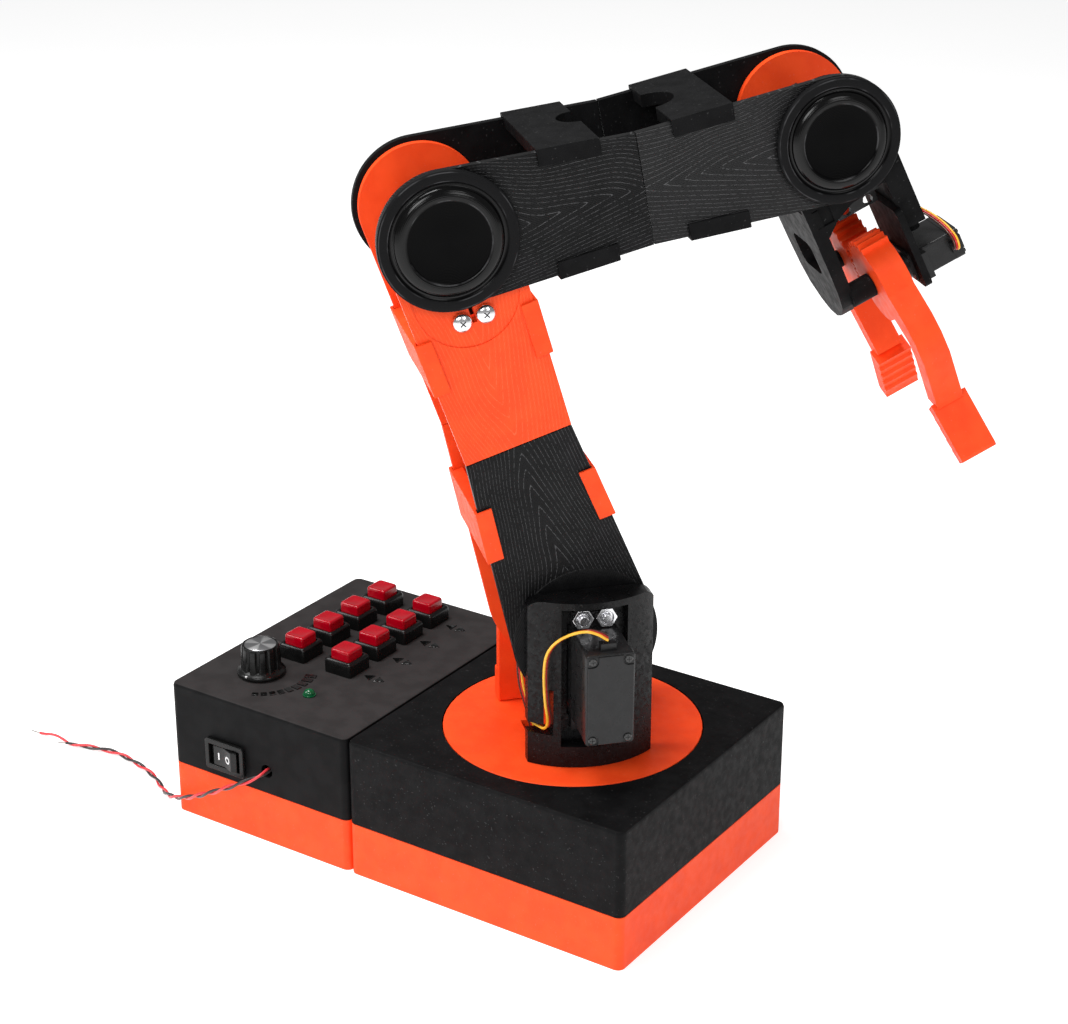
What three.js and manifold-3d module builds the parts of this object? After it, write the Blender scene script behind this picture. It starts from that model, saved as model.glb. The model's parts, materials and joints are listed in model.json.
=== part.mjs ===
// Desktop robot arm: a printed two-box base with a turntable, two links, a wrist and a two-jaw
// gripper, driven by hobby servos. Millimetres, +Z up. The origin is on the turntable's axis,
// at the height of the surface that the base stands on; -Y is the front, -X the control box.
import * as THREE from 'three';
import { mergeVertices } from 'three/addons/utils/BufferGeometryUtils.js';
import Module from 'manifold-3d';

const wasm = await Module();
wasm.setup();

// ---- driving dimensions ----
const GAP = 0.3; // clearance between neighbouring pieces
const WALL = 3;

const BASE = { width: 137.5, height: 65.2, split: 25, cornerRadius: 3.5, edgeRadius: 1.6 };
const ARM_BOX = { x0: -71.3, x1: 68.5 };
const CONTROL_BOX = { x0: -171.5, x1: -71.7 };
const FRONT_Y = -BASE.width / 2;

const TABLE = { radius: 56.5, thickness: 5 };
const WAIST_SERVO_Z = BASE.height - TABLE.thickness - 6.5; // height of the waist servo's case front
const ARM_YAW = 47.58; // direction that the arm faces at rest, degrees from +X

const SHOULDER = { x: -1, z: 118.5 };
const LINK = { length: 185.6, lean: 108, endRadius: 31, topRadius: 25.5, seamHalf: 22.8 };
const FOREARM = { length: 159, fold: 97.2, endRadius: 27.5, tipRadius: 25.5, seamHalf: 22.75 };
const WRIST_FOLD = 74.8;

const LINK_PLATE = { inner: 22, outer: 25.3 };
const FOREARM_PLATE = { inner: 26, outer: 29.2 };

const SERVO = { long: 40.5, wide: 20, depth: 37.5, ears: 54.4, earBack: 28, earThick: 2.5, shaftEnd: 10 };
const MICRO = { long: 22.8, wide: 12.2, back: 15.9, ears: 32.2, earThick: 2.5, shaftEnd: 5.9, top: 4.3 };

const BUTTON = { rows: [-139.7, -112.9], firstY: -14.4, pitch: 20.6, body: 15, cap: 10.6 };
const BUTTON_HEIGHT = { body: 7, capTop: 11.4, travel: 2 };
const KNOB = { x: -142.8, y: -39, flange: 11, radius: 9, height: 15 };
const LED = { x: -111, y: -44.2, radius: 2.6 };
const SWITCH = { x: -139.7, z: 36.7, width: 22, height: 15, tilt: 9 };
const LEAD = { x: -116.7, z: 36.2, hole: 6.3, diameter: 2.6 };

const GRIP = { pivotX: 67, pivotY: 18.5, teeth: 30, tip: 19.5, root: 17.2, low: -8, high: 4 };

// ---- materials ----
function finish(color, roughness, metalness = 0) {
  return new THREE.MeshStandardMaterial({ color, roughness, metalness });
}
const ORANGE = finish(0xff4823, 0.42);
const BLACK = finish(0x141414, 0.38);
const PANEL = finish(0x2b2b2c, 0.62);
const SERVO_CASE = finish(0x101012, 0.3);
const RED_CAP = finish(0xc00018, 0.28);
const SWITCH_BLACK = finish(0x0d0d0e, 0.3);
const STEEL = finish(0xc9cacc, 0.25, 1);
const BOARD = finish(0x1d5a34, 0.5);
const LED_GREEN = finish(0x17a34a, 0.15);
const LEAD_ORANGE = finish(0xf59a1c, 0.45);
const LEAD_RED = finish(0xc8202a, 0.45);

// ---- solid helpers ----
function solid(geometry) {
  geometry.deleteAttribute('normal');
  geometry.deleteAttribute('uv');
  const merged = mergeVertices(geometry, 1e-4);
  const vertProperties = new Float32Array(merged.attributes.position.array);
  const triVerts = new Uint32Array(merged.index.array);
  return new wasm.Manifold(new wasm.Mesh({ numProp: 3, vertProperties, triVerts }));
}

function union(first, ...others) {
  return others.reduce((sum, piece) => sum.add(piece), first);
}

function cut(body, ...tools) {
  return tools.reduce((rest, tool) => rest.subtract(tool), body);
}

function geometryOf(body) {
  const mesh = body.getMesh();
  const geometry = new THREE.BufferGeometry();
  geometry.setAttribute('position', new THREE.BufferAttribute(mesh.vertProperties, 3));
  geometry.setIndex(new THREE.BufferAttribute(mesh.triVerts, 1));
  return geometry;
}

function add(parent, name, material, body) {
  const mesh = new THREE.Mesh(geometryOf(body), material);
  mesh.name = name;
  parent.add(mesh);
  return mesh;
}

// a box given by its low and high limits on each axis
function block([x0, x1], [y0, y1], [z0, z1]) {
  const geometry = new THREE.BoxGeometry(x1 - x0, y1 - y0, z1 - z0);
  geometry.translate((x0 + x1) / 2, (y0 + y1) / 2, (z0 + z1) / 2);
  return solid(geometry);
}

// a cylinder or cone along one axis, from one height to the other
function rod(axis, radius, from, to, [u, v] = [0, 0], sides = 16, radiusEnd = radius) {
  const geometry = new THREE.CylinderGeometry(radiusEnd, radius, to - from, sides);
  geometry.translate(0, (from + to) / 2, 0);
  if (axis === 'x') {
    geometry.rotateZ(-Math.PI / 2).translate(0, u, v);
  } else if (axis === 'y') {
    geometry.translate(u, 0, v);
  } else {
    geometry.rotateX(Math.PI / 2).translate(u, v, 0);
  }
  return solid(geometry);
}

function extrude(shape, depth, curveSegments = 6) {
  return new THREE.ExtrudeGeometry(shape, { depth, curveSegments, bevelEnabled: false });
}

// an outline in the XZ plane, given thickness along Y
function slabY(shape, y0, y1, curveSegments) {
  const geometry = extrude(shape, y1 - y0, curveSegments);
  geometry.rotateX(Math.PI / 2).translate(0, y1, 0);
  return solid(geometry);
}

// an outline in the XY plane, given thickness along Z
function slabZ(shape, z0, z1, curveSegments) {
  const geometry = extrude(shape, z1 - z0, curveSegments);
  geometry.translate(0, 0, z0);
  return solid(geometry);
}

function polygon(points) {
  return new THREE.Shape(points.map(([x, y]) => new THREE.Vector2(x, y)));
}

function roundedRect([x0, x1], [y0, y1], r) {
  const shape = new THREE.Shape();
  shape.absarc(x1 - r, y1 - r, r, 0, Math.PI / 2);
  shape.absarc(x0 + r, y1 - r, r, Math.PI / 2, Math.PI);
  shape.absarc(x0 + r, y0 + r, r, Math.PI, 1.5 * Math.PI);
  shape.absarc(x1 - r, y0 + r, r, 1.5 * Math.PI, 2 * Math.PI);
  return shape;
}

function tube(points, section, steps) {
  const path = new THREE.CatmullRomCurve3(points.map((p) => new THREE.Vector3(...p)), false, 'centripetal');
  const options = { steps, extrudePath: path, bevelEnabled: false };
  return solid(new THREE.ExtrudeGeometry(section, options));
}

function roundSection(radius, sides = 8) {
  const corner = (i) => {
    const angle = (2 * Math.PI * i) / sides;
    return [radius * Math.cos(angle), radius * Math.sin(angle)];
  };
  return polygon(Array.from({ length: sides }, (_, i) => corner(i)));
}

const radians = THREE.MathUtils.degToRad;
const AXIS = { x: new THREE.Vector3(1, 0, 0), y: new THREE.Vector3(0, 1, 0), z: new THREE.Vector3(0, 0, 1) };

// turns a mesh so that its own X and Z point along the two given directions
function orient(mesh, ownX, ownZ) {
  const ownY = new THREE.Vector3().crossVectors(ownZ, ownX);
  mesh.setRotationFromMatrix(new THREE.Matrix4().makeBasis(ownX, ownY, ownZ));
}

function reversed(axis) {
  return axis.clone().negate();
}

// ---- base boxes ----
function boxOutline({ x0, x1 }, inset) {
  const half = BASE.width / 2 - inset;
  const r = Math.max(BASE.cornerRadius - inset, 1);
  return roundedRect([x0 + inset, x1 - inset], [-half, half], r);
}

function tray(box) {
  const outer = slabZ(boxOutline(box, 0), 0, BASE.split, 4);
  const hollow = slabZ(boxOutline(box, WALL), WALL, BASE.split + 1, 4);
  return cut(outer, hollow);
}

// the cover's outer form, with its top edge rounded in two steps
function coverForm(box) {
  const { edgeRadius, height, split } = BASE;
  const bevel = { bevelThickness: edgeRadius, bevelSize: edgeRadius, bevelOffset: -edgeRadius, bevelSegments: 2 };
  const depth = height - split;
  const options = { depth, curveSegments: 4, bevelEnabled: true, ...bevel };
  const geometry = new THREE.ExtrudeGeometry(boxOutline(box, 0), options);
  geometry.translate(0, 0, split - edgeRadius);
  const below = split + GAP;
  return cut(solid(geometry), block([box.x0 - 1, box.x1 + 1], [FRONT_Y - 1, -FRONT_Y + 1], [0, below]));
}

function cover(box) {
  const hollow = slabZ(boxOutline(box, WALL), BASE.split - 1, BASE.height - WALL, 4);
  return cut(coverForm(box), hollow);
}

function armCover() {
  const top = BASE.height;
  const ledgeTop = top - TABLE.thickness - GAP;
  const ledge = rod('z', TABLE.radius + 4, ledgeTop - WALL, top - 1, [0, 0], 56);
  const opening = rod('z', TABLE.radius + 0.5, ledgeTop, top + 1, [0, 0], 56);
  const well = rod('z', TABLE.radius - 8, ledgeTop - WALL - 1, ledgeTop + 1, [0, 0], 56);
  const passage = block([ARM_BOX.x0 - 1, ARM_BOX.x0 + WALL + 1], [-12, 12], [34, 48]);
  return cut(union(cover(ARM_BOX), ledge), opening, well, passage);
}

function controlCover() {
  const z0 = BASE.height - WALL - 1;
  const z1 = BASE.height + 1;
  const stems = buttonPlaces().map(([x, y]) => block([x - 3.5, x + 3.5], [y - 3.5, y + 3.5], [z0, z1]));
  const shaft = rod('z', 3.4, z0, z1, [KNOB.x, KNOB.y]);
  const lamp = rod('z', LED.radius + GAP, z0, z1, [LED.x, LED.y]);
  const halfWidth = SWITCH.width / 2 - 1.4;
  const halfHeight = SWITCH.height / 2 - 1;
  const window = block(
    [SWITCH.x - halfWidth, SWITCH.x + halfWidth],
    [FRONT_Y - 1, FRONT_Y + WALL + 1],
    [SWITCH.z - halfHeight, SWITCH.z + halfHeight],
  );
  const lead = rod('y', LEAD.hole / 2, FRONT_Y - 1, FRONT_Y + WALL + 1, [LEAD.x, LEAD.z]);
  const passage = block([CONTROL_BOX.x1 - WALL - 1, CONTROL_BOX.x1 + 1], [-12, 12], [34, 48]);
  return cut(cover(CONTROL_BOX), ...stems, shaft, lamp, window, lead, passage);
}

// ---- servos ----
// A standard servo with its shaft on the Z axis pointing up and its case front at z = 0. The
// case's long side runs along -X, and its lead leaves the end nearest the shaft, low down.
function standardServo(shaftLength) {
  const { long, wide, depth, ears, earBack, earThick, shaftEnd } = SERVO;
  const x1 = shaftEnd;
  const x0 = shaftEnd - long;
  const half = wide / 2;
  const earZ = earBack - depth;
  const overhang = (ears - long) / 2;
  const body = slabZ(roundedRect([x0, x1], [-half, half], 1.2), -depth, -1.8, 2);
  const lid = block([x0 + 0.8, x1 - 0.8], [-half + 0.8, half - 0.8], [-2, 0]);
  const earPlate = block([x0 - overhang, x1 + overhang], [-half + 1, half - 1], [earZ, earZ + earThick]);
  const turret = rod('z', 6.5, -0.5, 1.2, [0, 0], 16);
  const shaft = rod('z', 3, 0, shaftLength, [0, 0], 12);
  const relief = block([x1 - 1, x1 + 3.4], [-3.2, 3.2], [-depth + 3.2, -depth + 7]);
  const holes = [x0 - overhang + 2.4, x1 + overhang - 2.4].flatMap((x) =>
    [-5, 5].map((y) => rod('z', 2.2, earZ - 1, earZ + earThick + 1, [x, y], 8)),
  );
  return cut(union(body, lid, earPlate, turret, shaft, relief), ...holes);
}

// A micro servo, placed like the standard one.
function microServo(shaftLength) {
  const { long, wide, back, ears, earThick, shaftEnd, top } = MICRO;
  const x1 = shaftEnd;
  const x0 = shaftEnd - long;
  const half = wide / 2;
  const overhang = (ears - long) / 2;
  const height = back + earThick + top;
  const body = slabZ(roundedRect([x0, x1], [-half, half], 0.8), -height, 0, 3);
  const earTop = -top;
  const earPlate = block([x0 - overhang, x1 + overhang], [-half + 0.3, half - 0.3], [earTop - earThick, earTop]);
  const turret = rod('z', 5.8, -0.5, 3.9, [0, 0], 20);
  const pinion = rod('z', 2.8, -0.5, 3.9, [-7, 0], 16);
  const shaft = rod('z', 2.3, 0, shaftLength, [0, 0], 16);
  const relief = block([x1 - 1, x1 + 2.4], [-2.2, 2.2], [-height + 2.4, -height + 5]);
  const holes = [x0 - overhang + 2.2, x1 + overhang - 2.2].map((x) =>
    rod('z', 1.1, earTop - earThick - 1, earTop + 1, [x, 0], 12),
  );
  return cut(union(body, earPlate, turret, pinion, shaft, relief), ...holes);
}

// ---- control panel ----
function buttonPlaces() {
  return BUTTON.rows.flatMap((x) => [0, 1, 2, 3].map((i) => [x, BUTTON.firstY + i * BUTTON.pitch]));
}

function square(size, r) {
  return roundedRect([-size / 2, size / 2], [-size / 2, size / 2], r);
}

function buttonBody() {
  const z0 = BASE.height + GAP;
  const z1 = BASE.height + BUTTON_HEIGHT.body;
  const form = slabZ(square(BUTTON.body, 1.4), z0, z1, 2);
  const opening = block([-5.7, 5.7], [-5.7, 5.7], [z0 + 1.6, z1 + 1]);
  const stem = block([-3.2, 3.2], [-3.2, 3.2], [z0 - 1, z0 + 3]);
  return cut(form, opening, stem);
}

function buttonCap() {
  const top = BASE.height + BUTTON_HEIGHT.capTop;
  const low = BASE.height + 2.2 + BUTTON_HEIGHT.travel;
  const bevel = { bevelThickness: 0.7, bevelSize: 0.7, bevelOffset: -0.7, bevelSegments: 1 };
  const depth = top - low - 2 * bevel.bevelThickness;
  const options = { depth, curveSegments: 1, bevelEnabled: true, ...bevel };
  const geometry = new THREE.ExtrudeGeometry(square(BUTTON.cap, 1.1), options);
  geometry.translate(0, 0, low + bevel.bevelThickness);
  const stem = block([-2.8, 2.8], [-2.8, 2.8], [BASE.height - 1, low + 1]);
  return union(solid(geometry), stem);
}

function addButtons(parent) {
  buttonPlaces().forEach(([x, y], i) => {
    const body = add(parent, `button_body_${i + 1}`, SWITCH_BLACK, buttonBody());
    const cap = add(parent, `button_cap_${i + 1}`, RED_CAP, buttonCap());
    body.position.set(x, y, 0);
    cap.position.set(x, y, 0);
  });
}

function knob() {
  const z0 = BASE.height + 0.6;
  const z1 = BASE.height + KNOB.height;
  const flange = rod('z', KNOB.flange, z0, z0 + 2.6, [0, 0], 27, KNOB.flange - 0.8);
  const grip = rod('z', KNOB.radius + 0.3, z0 + 2.4, z1, [0, 0], 27, KNOB.radius - 0.5);
  const flutes = Array.from({ length: 9 }, (_, i) => {
    const angle = (2 * Math.PI * i) / 9;
    const reach = KNOB.radius + 3.1;
    return rod('z', 3.6, z0 + 4.4, z1 + 1, [reach * Math.cos(angle), reach * Math.sin(angle)], 8);
  });
  const bore = rod('z', 3.3, z0 - 1, z1 - 3, [0, 0], 12);
  return cut(union(flange, grip), ...flutes, bore);
}

function potentiometer() {
  const under = BASE.height - WALL - GAP;
  const can = rod('z', 8, under - 8, under, [0, 0], 20);
  const shaft = rod('z', 3, under - 1, BASE.height + 11.5, [0, 0], 12);
  const tags = [-5, 0, 5].map((x) => block([x - 0.6, x + 0.6], [4, 13], [under - 5, under - 4]));
  return union(can, shaft, ...tags);
}

function led() {
  const dome = new THREE.SphereGeometry(LED.radius, 12, 8);
  dome.rotateX(Math.PI / 2).translate(0, 0, BASE.height + 0.6);
  const barrel = rod('z', LED.radius, BASE.height - 6, BASE.height + 0.6, [0, 0], 12);
  return union(solid(dome), barrel);
}

function switchBody() {
  const halfWidth = SWITCH.width / 2;
  const halfHeight = SWITCH.height / 2;
  const outline = roundedRect([-halfWidth, halfWidth], [-halfHeight, halfHeight], 1.5);
  const bezel = slabY(outline, FRONT_Y - 2.2, FRONT_Y - GAP, 3);
  const caseX = halfWidth - 1.8;
  const caseZ = halfHeight - 1.4;
  const case_ = block([-caseX, caseX], [FRONT_Y - 1, FRONT_Y + 13], [-caseZ, caseZ]);
  const opening = block([-8.9, 8.9], [FRONT_Y - 4, FRONT_Y + 8], [-5.1, 5.1]);
  const tags = [-6, 0, 6].map((x) => block([x - 0.4, x + 0.4], [FRONT_Y + 12, FRONT_Y + 20], [-2.4, 2.4]));
  return cut(union(bezel, case_, ...tags), opening);
}

// the rocker's plan is a shallow wedge on each side of its pivot
function rocker() {
  const plan = polygon([[-8.3, -0.4], [-5.5, -1.6], [0, -0.6], [5.5, -1.6], [8.3, -0.4], [5, 4], [-5, 4]]);
  return slabZ(plan, -4.8, 4.8);
}

function controlBoard() {
  const z = WALL + 6;
  const board = block([-166, -78], [-45, 45], [z, z + 1.6]);
  const chips = [
    block([-150, -114], [-8, 0], [z + 1, z + 5]),
    block([-160, -146], [22, 31], [z + 1, z + 12]),
    block([-104, -92], [-30, 30], [z + 1, z + 10]),
    block([-140, -120], [-36, -28], [z + 1, z + 10]),
  ];
  const posts = [[-160, -38], [-160, 38], [-84, -38], [-84, 38]].map((at) => rod('z', 3, WALL + GAP, z + 1, at, 12));
  return union(board, ...chips, ...posts);
}

// Route of the power lead: straight out of the front wall, over and down to the surface, round
// the front left corner of the base, and along the surface to its bare end.
const LEAD_ROUTE = [
  [-116.7, -66.5, 36.2], [-116.9, -71.5, 36.0], [-119.0, -75.2, 34.8], [-124.0, -77.2, 32.0],
  [-131.0, -77.8, 28.0], [-139.0, -77.6, 23.4], [-147.5, -76.8, 18.6], [-156.0, -75.4, 14.0],
  [-164.5, -73.2, 9.8], [-172.5, -70.2, 6.2], [-180.2, -66.2, 3.4], [-187.6, -61.4, 1.7],
  [-195.5, -56.6, 1.5], [-204.5, -52.6, 1.5], [-214.0, -50.0, 1.5], [-229.0, -47.6, 1.5],
  [-240.8, -49.6, 1.5], [-251.6, -52.2, 1.5], [-261.2, -52.4, 1.5], [-270.4, -51.8, 1.5],
  [-279.8, -53.6, 1.5],
];

// the arm box's tray also carries the two posts that the waist servo's ears rest on
function armTray() {
  const top = WAIST_SERVO_Z + SERVO.earBack - SERVO.depth - GAP;
  const x0 = SERVO.shaftEnd - SERVO.long;
  const posts = [[x0 - 7.5, x0 - 0.7], [SERVO.shaftEnd + 0.7, SERVO.shaftEnd + 7.5]];
  const body = union(tray(ARM_BOX), ...posts.map((span) => block(span, [-9, 9], [WALL - 1, top])));
  return cut(body, block([SERVO.shaftEnd, SERVO.shaftEnd + 8], [-4, 4], [12, top + 1]));
}

function addBase(root) {
  add(root, 'arm_tray', ORANGE, armTray());
  add(root, 'arm_cover', BLACK, armCover());
  add(root, 'control_tray', ORANGE, tray(CONTROL_BOX));
  add(root, 'control_cover', PANEL, controlCover());
  add(root, 'control_board', BOARD, controlBoard());
  const waistServo = add(root, 'waist_servo', SERVO_CASE, standardServo(8));
  waistServo.position.z = WAIST_SERVO_Z;
  addButtons(root);
  add(root, 'speed_knob', SWITCH_BLACK, knob()).position.set(KNOB.x, KNOB.y, 0);
  add(root, 'potentiometer', STEEL, potentiometer()).position.set(KNOB.x, KNOB.y, 0);
  add(root, 'status_led', LED_GREEN, led()).position.set(LED.x, LED.y, 0);
  add(root, 'switch_body', SWITCH_BLACK, switchBody()).position.set(SWITCH.x, 0, SWITCH.z);
  const rockerMesh = add(root, 'switch_rocker', SWITCH_BLACK, rocker());
  rockerMesh.position.set(SWITCH.x, FRONT_Y - 1.4, SWITCH.z);
  rockerMesh.rotation.z = radians(-SWITCH.tilt);
  add(root, 'power_lead', LEAD_RED, tube(LEAD_ROUTE, roundSection(LEAD.diameter / 2), 52));
}

// ---- turntable and shoulder tower; the near side, where the servo is, is -Y ----
const BRACKET = { face: 26, radius: 41, left: -27.5, right: 26, bottom: 65.5, top: 141 };
const SERVO_WINDOW = { left: -11.3, right: 9.3, low: 87.2, high: 128.8 };

function turntable() {
  const top = BASE.height;
  const disc = rod('z', TABLE.radius, top - TABLE.thickness, top, [0, 0], 56);
  const socket = rod('z', 3.2, top - TABLE.thickness - 1, top - 2, [0, 0], 20);
  const leadHole = block([-21.5, -13], [-5, 7], [top - TABLE.thickness - 1, top + 1]);
  return cut(disc, socket, leadHole);
}

function towerBracket() {
  const { face, radius, left, right, bottom, top } = BRACKET;
  const plan = new THREE.Shape();
  plan.moveTo(right, -face);
  plan.lineTo(left, -face);
  plan.absarc(0, 0, radius, Math.PI + Math.acos(-left / radius), 2 * Math.PI - Math.acos(right / radius));
  const blank = slabZ(plan, bottom, top, 16);
  const front = roundedRect([left - 1, right + 1], [bottom - 20, top], 7);
  const body = blank.intersect(slabY(front, -radius - 1, -face + 1, 6));
  const w = SERVO_WINDOW;
  const window = block([w.left, w.right], [-radius - 1, -face + 1], [w.low, w.high]);
  const recess = block([-15, 13], [-radius - 1, -32.7], [75, 138]);
  const channel = block([-21.6, -18], [-radius - 1, -face + 1], [80, 101]);
  const ledge = block([left - 1, -18], [-radius - 1, -face + 1], [80, 84.6]);
  return cut(body, window, recess, channel, ledge);
}

function towerUpright() {
  const arch = new THREE.Shape();
  const left = SHOULDER.x - 26;
  const right = SHOULDER.x + 26;
  arch.moveTo(left, 78);
  arch.lineTo(right, 78);
  arch.absarc(SHOULDER.x, SHOULDER.z, 26, 0, Math.PI);
  const plate = slabY(arch, 26, 30.5, 24);
  const foot = block([left, right], [26, 34], [BASE.height + GAP, 80]);
  const pin = rod('y', 4, 22.4, 27, [SHOULDER.x, SHOULDER.z], 24);
  return union(plate, foot, pin);
}

function hexNut() {
  const nut = cut(rod('y', 4.6, -39, -35.8, [0, 0], 6), rod('y', 2.9, -40, -38, [0, 0], 20));
  const end = rod('y', 2, -40.4, -36.5, [0, 0], 16);
  return union(nut, end);
}

const SHOULDER_LEAD_ROUTE = [
  [-1.0, -58.4, 133.5], [-4.4, -58.4, 135.8], [-8.8, -57.4, 137.0], [-13.6, -54.4, 135.2],
  [-17.8, -50.2, 131.2], [-20.6, -46.2, 126.2], [-22.2, -43.4, 120.4], [-22.6, -41.8, 113.0],
  [-22.3, -40.8, 105.0], [-21.6, -40.2, 97.0], [-20.6, -39.4, 91.0], [-20.0, -37.0, 86.0],
  [-20.6, -33.6, 82.6], [-22.6, -29.4, 82.2], [-24.2, -24.8, 82.2],
];
const ARM_LEAD_ROUTE = [
  [-19.0, 14.0, 108.0], [-20.4, 12.5, 98.0], [-21.4, 10.0, 90.0], [-21.2, 7.0, 82.0], [-19.6, 4.0, 74.0],
  [-18.0, 2.2, 66.0], [-17.4, 1.6, 60.5],
];

function addTower(waist) {
  add(waist, 'turntable', ORANGE, turntable());
  add(waist, 'tower_bracket', BLACK, towerBracket());
  add(waist, 'tower_upright', ORANGE, towerUpright());
  const servo = add(waist, 'shoulder_servo', SERVO_CASE, standardServo(4));
  servo.position.set(SHOULDER.x, -BRACKET.face, SHOULDER.z);
  orient(servo, AXIS.z, AXIS.y);
  const earHole = SERVO.shaftEnd + (SERVO.ears - SERVO.long) / 2 - 2.4;
  for (const [side, x] of [['left', -5], ['right', 5]]) {
    const nut = add(waist, `shoulder_nut_${side}`, STEEL, hexNut());
    nut.position.set(SHOULDER.x + x, 0, SHOULDER.z + earHole);
    nut.rotation.y = Math.PI / 6;
  }
  add(waist, 'shoulder_lead', LEAD_ORANGE, tube(SHOULDER_LEAD_ROUTE, roundSection(1.2), 26));
  add(waist, 'arm_lead', LEAD_ORANGE, tube(ARM_LEAD_ROUTE, roundSection(1.6), 14));
}

// ---- links: X runs along the link, the near side is -Y, Z is across ----
function tangentAngle(radius, length, half) {
  const reach = Math.hypot(length, half);
  return Math.atan2(half, length) + Math.acos(radius / reach);
}

// half of a link's side: a round end at the origin, tapering to a straight cut
function halfLink(radius, length, half) {
  const t = tangentAngle(radius, length, half);
  const shape = new THREE.Shape();
  shape.moveTo(length, -half);
  shape.lineTo(length, half);
  shape.absarc(0, 0, radius, t, 2 * Math.PI - t);
  return shape;
}

// the link's half width at a distance from its round end
function halfWidth(radius, length, half, x) {
  const t = tangentAngle(radius, length, half);
  const x0 = radius * Math.cos(t);
  const z0 = radius * Math.sin(t);
  return z0 + ((half - z0) * (x - x0)) / (length - x0);
}

function sidePlate(radius, length, half, [y0, y1], hole, flipTo = 0) {
  const geometry = extrude(halfLink(radius, length, half), y1 - y0, 32);
  geometry.rotateX(Math.PI / 2).translate(0, y1, 0);
  if (flipTo) {
    geometry.rotateY(Math.PI).translate(flipTo, 0, 0);
  }
  const plate = solid(geometry);
  return hole ? cut(plate, rod('y', hole, y0 - 1, y1 + 1, [flipTo, 0], 24)) : plate;
}

// A cross brace: two rails just inside the plates' edges, a web between them, and four tabs
// that wrap round the edges onto the plates' outer faces. A notch is a round bite in the rails.
function brace({ x0, x1, edge, inner, outer, notch }) {
  const lip = 1.2;
  const quad = (side, low, high) => polygon([
    [x0, side * (edge(x0) + low)], [x1, side * (edge(x1) + low)],
    [x1, side * (edge(x1) + high)], [x0, side * (edge(x0) + high)],
  ]);
  const pieces = [];
  for (const side of [-1, 1]) {
    pieces.push(slabY(quad(side, -4, GAP + lip), -inner, inner));
    pieces.push(slabY(quad(side, GAP, GAP + lip), -outer - GAP - lip, outer + GAP + lip));
    for (const y of [-outer - GAP - lip, outer + GAP]) {
      pieces.push(slabY(quad(side, -5.6, GAP + lip), y, y + lip));
    }
  }
  const middle = (x0 + x1) / 2;
  const reach = edge(middle) - 2;
  const web = block([middle - 1.5, middle + 1.5], [-inner, inner], [-reach, reach]);
  const passage = block([middle - 2, middle + 2], [8, inner - 4], [-8, 8]);
  const bites = notch ? [rod('z', notch.radius, -reach - 10, reach + 10, notch.at, 32)] : [];
  return cut(union(web, ...pieces), passage, ...bites);
}

function screw(headY) {
  const head = rod('y', 3.9, headY - 2.4, headY, [0, 0], 20, 4);
  const shank = rod('y', 1.5, headY - 1, headY + 9.5, [0, 0], 12);
  return union(head, shank);
}

const LINK_SPLIT = 92.8;
const SERVO_FRONT = 21.5; // distance of the elbow and wrist servos' case fronts from the arm's plane
const ELBOW_SCREW_X = LINK.length - 35;
const ELBOW_RECESS = { depth: 0.5, radius: 21.5, middle: LINK.length - 25 };

// the shallow U-shaped step round the elbow in the near plate's outer face
function elbowRecess(face) {
  const { depth, radius, middle } = ELBOW_RECESS;
  const round = rod('y', radius, face - 1, face + depth, [middle, 0], 48);
  const above = block([middle, LINK.length + LINK.topRadius + 1], [face - 1, face + depth], [-radius, radius]);
  return union(round, above);
}

function addLowerLink(link) {
  const { endRadius, topRadius, seamHalf, length } = LINK;
  const topLength = length - LINK_SPLIT;
  const low = [endRadius, LINK_SPLIT - GAP / 2, seamHalf];
  const high = [topRadius, topLength - GAP / 2, seamHalf];
  const near = [-LINK_PLATE.outer, -LINK_PLATE.inner];
  const far = [LINK_PLATE.inner, LINK_PLATE.outer];
  const screwHoles = [-5, 5].map((z) => rod('y', 1.8, near[0] - 1, near[1] + 1, [ELBOW_SCREW_X, z], 12));
  const slot = block([ELBOW_SCREW_X - 2, ELBOW_SCREW_X + 10], [near[0] - 1, near[1] + 1], [-0.9, 0.9]);
  const recess = elbowRecess(near[0]);
  add(link, 'link_near_lower', BLACK, sidePlate(...low, near, 7));
  add(link, 'link_near_upper', ORANGE, cut(sidePlate(...high, near, 7, length), slot, recess, ...screwHoles));
  add(link, 'link_far_lower', ORANGE, sidePlate(...low, far, 4.4));
  add(link, 'link_far_upper', ORANGE, sidePlate(...high, far, 4.4, length));
  const inner = LINK_PLATE.inner - GAP;
  const outer = LINK_PLATE.outer;
  const lowEdge = (x) => halfWidth(...low, x);
  const highEdge = (x) => halfWidth(...high, length - x);
  add(link, 'link_lower_brace', ORANGE, brace({ x0: 49, x1: 72, edge: lowEdge, inner, outer }));
  add(link, 'link_upper_brace', ORANGE, brace({ x0: 125.6, x1: 148.6, edge: highEdge, inner, outer }));
  const servo = add(link, 'elbow_servo', SERVO_CASE, standardServo(7.5));
  servo.position.set(length, -SERVO_FRONT, 0);
  orient(servo, AXIS.x, reversed(AXIS.y));
  for (const [side, z] of [['left', 5], ['right', -5]]) {
    const pan = add(link, `elbow_screw_${side}`, STEEL, screw(ELBOW_RECESS.depth - LINK_PLATE.outer - GAP));
    pan.position.set(ELBOW_SCREW_X, 0, z);
  }
}

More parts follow.
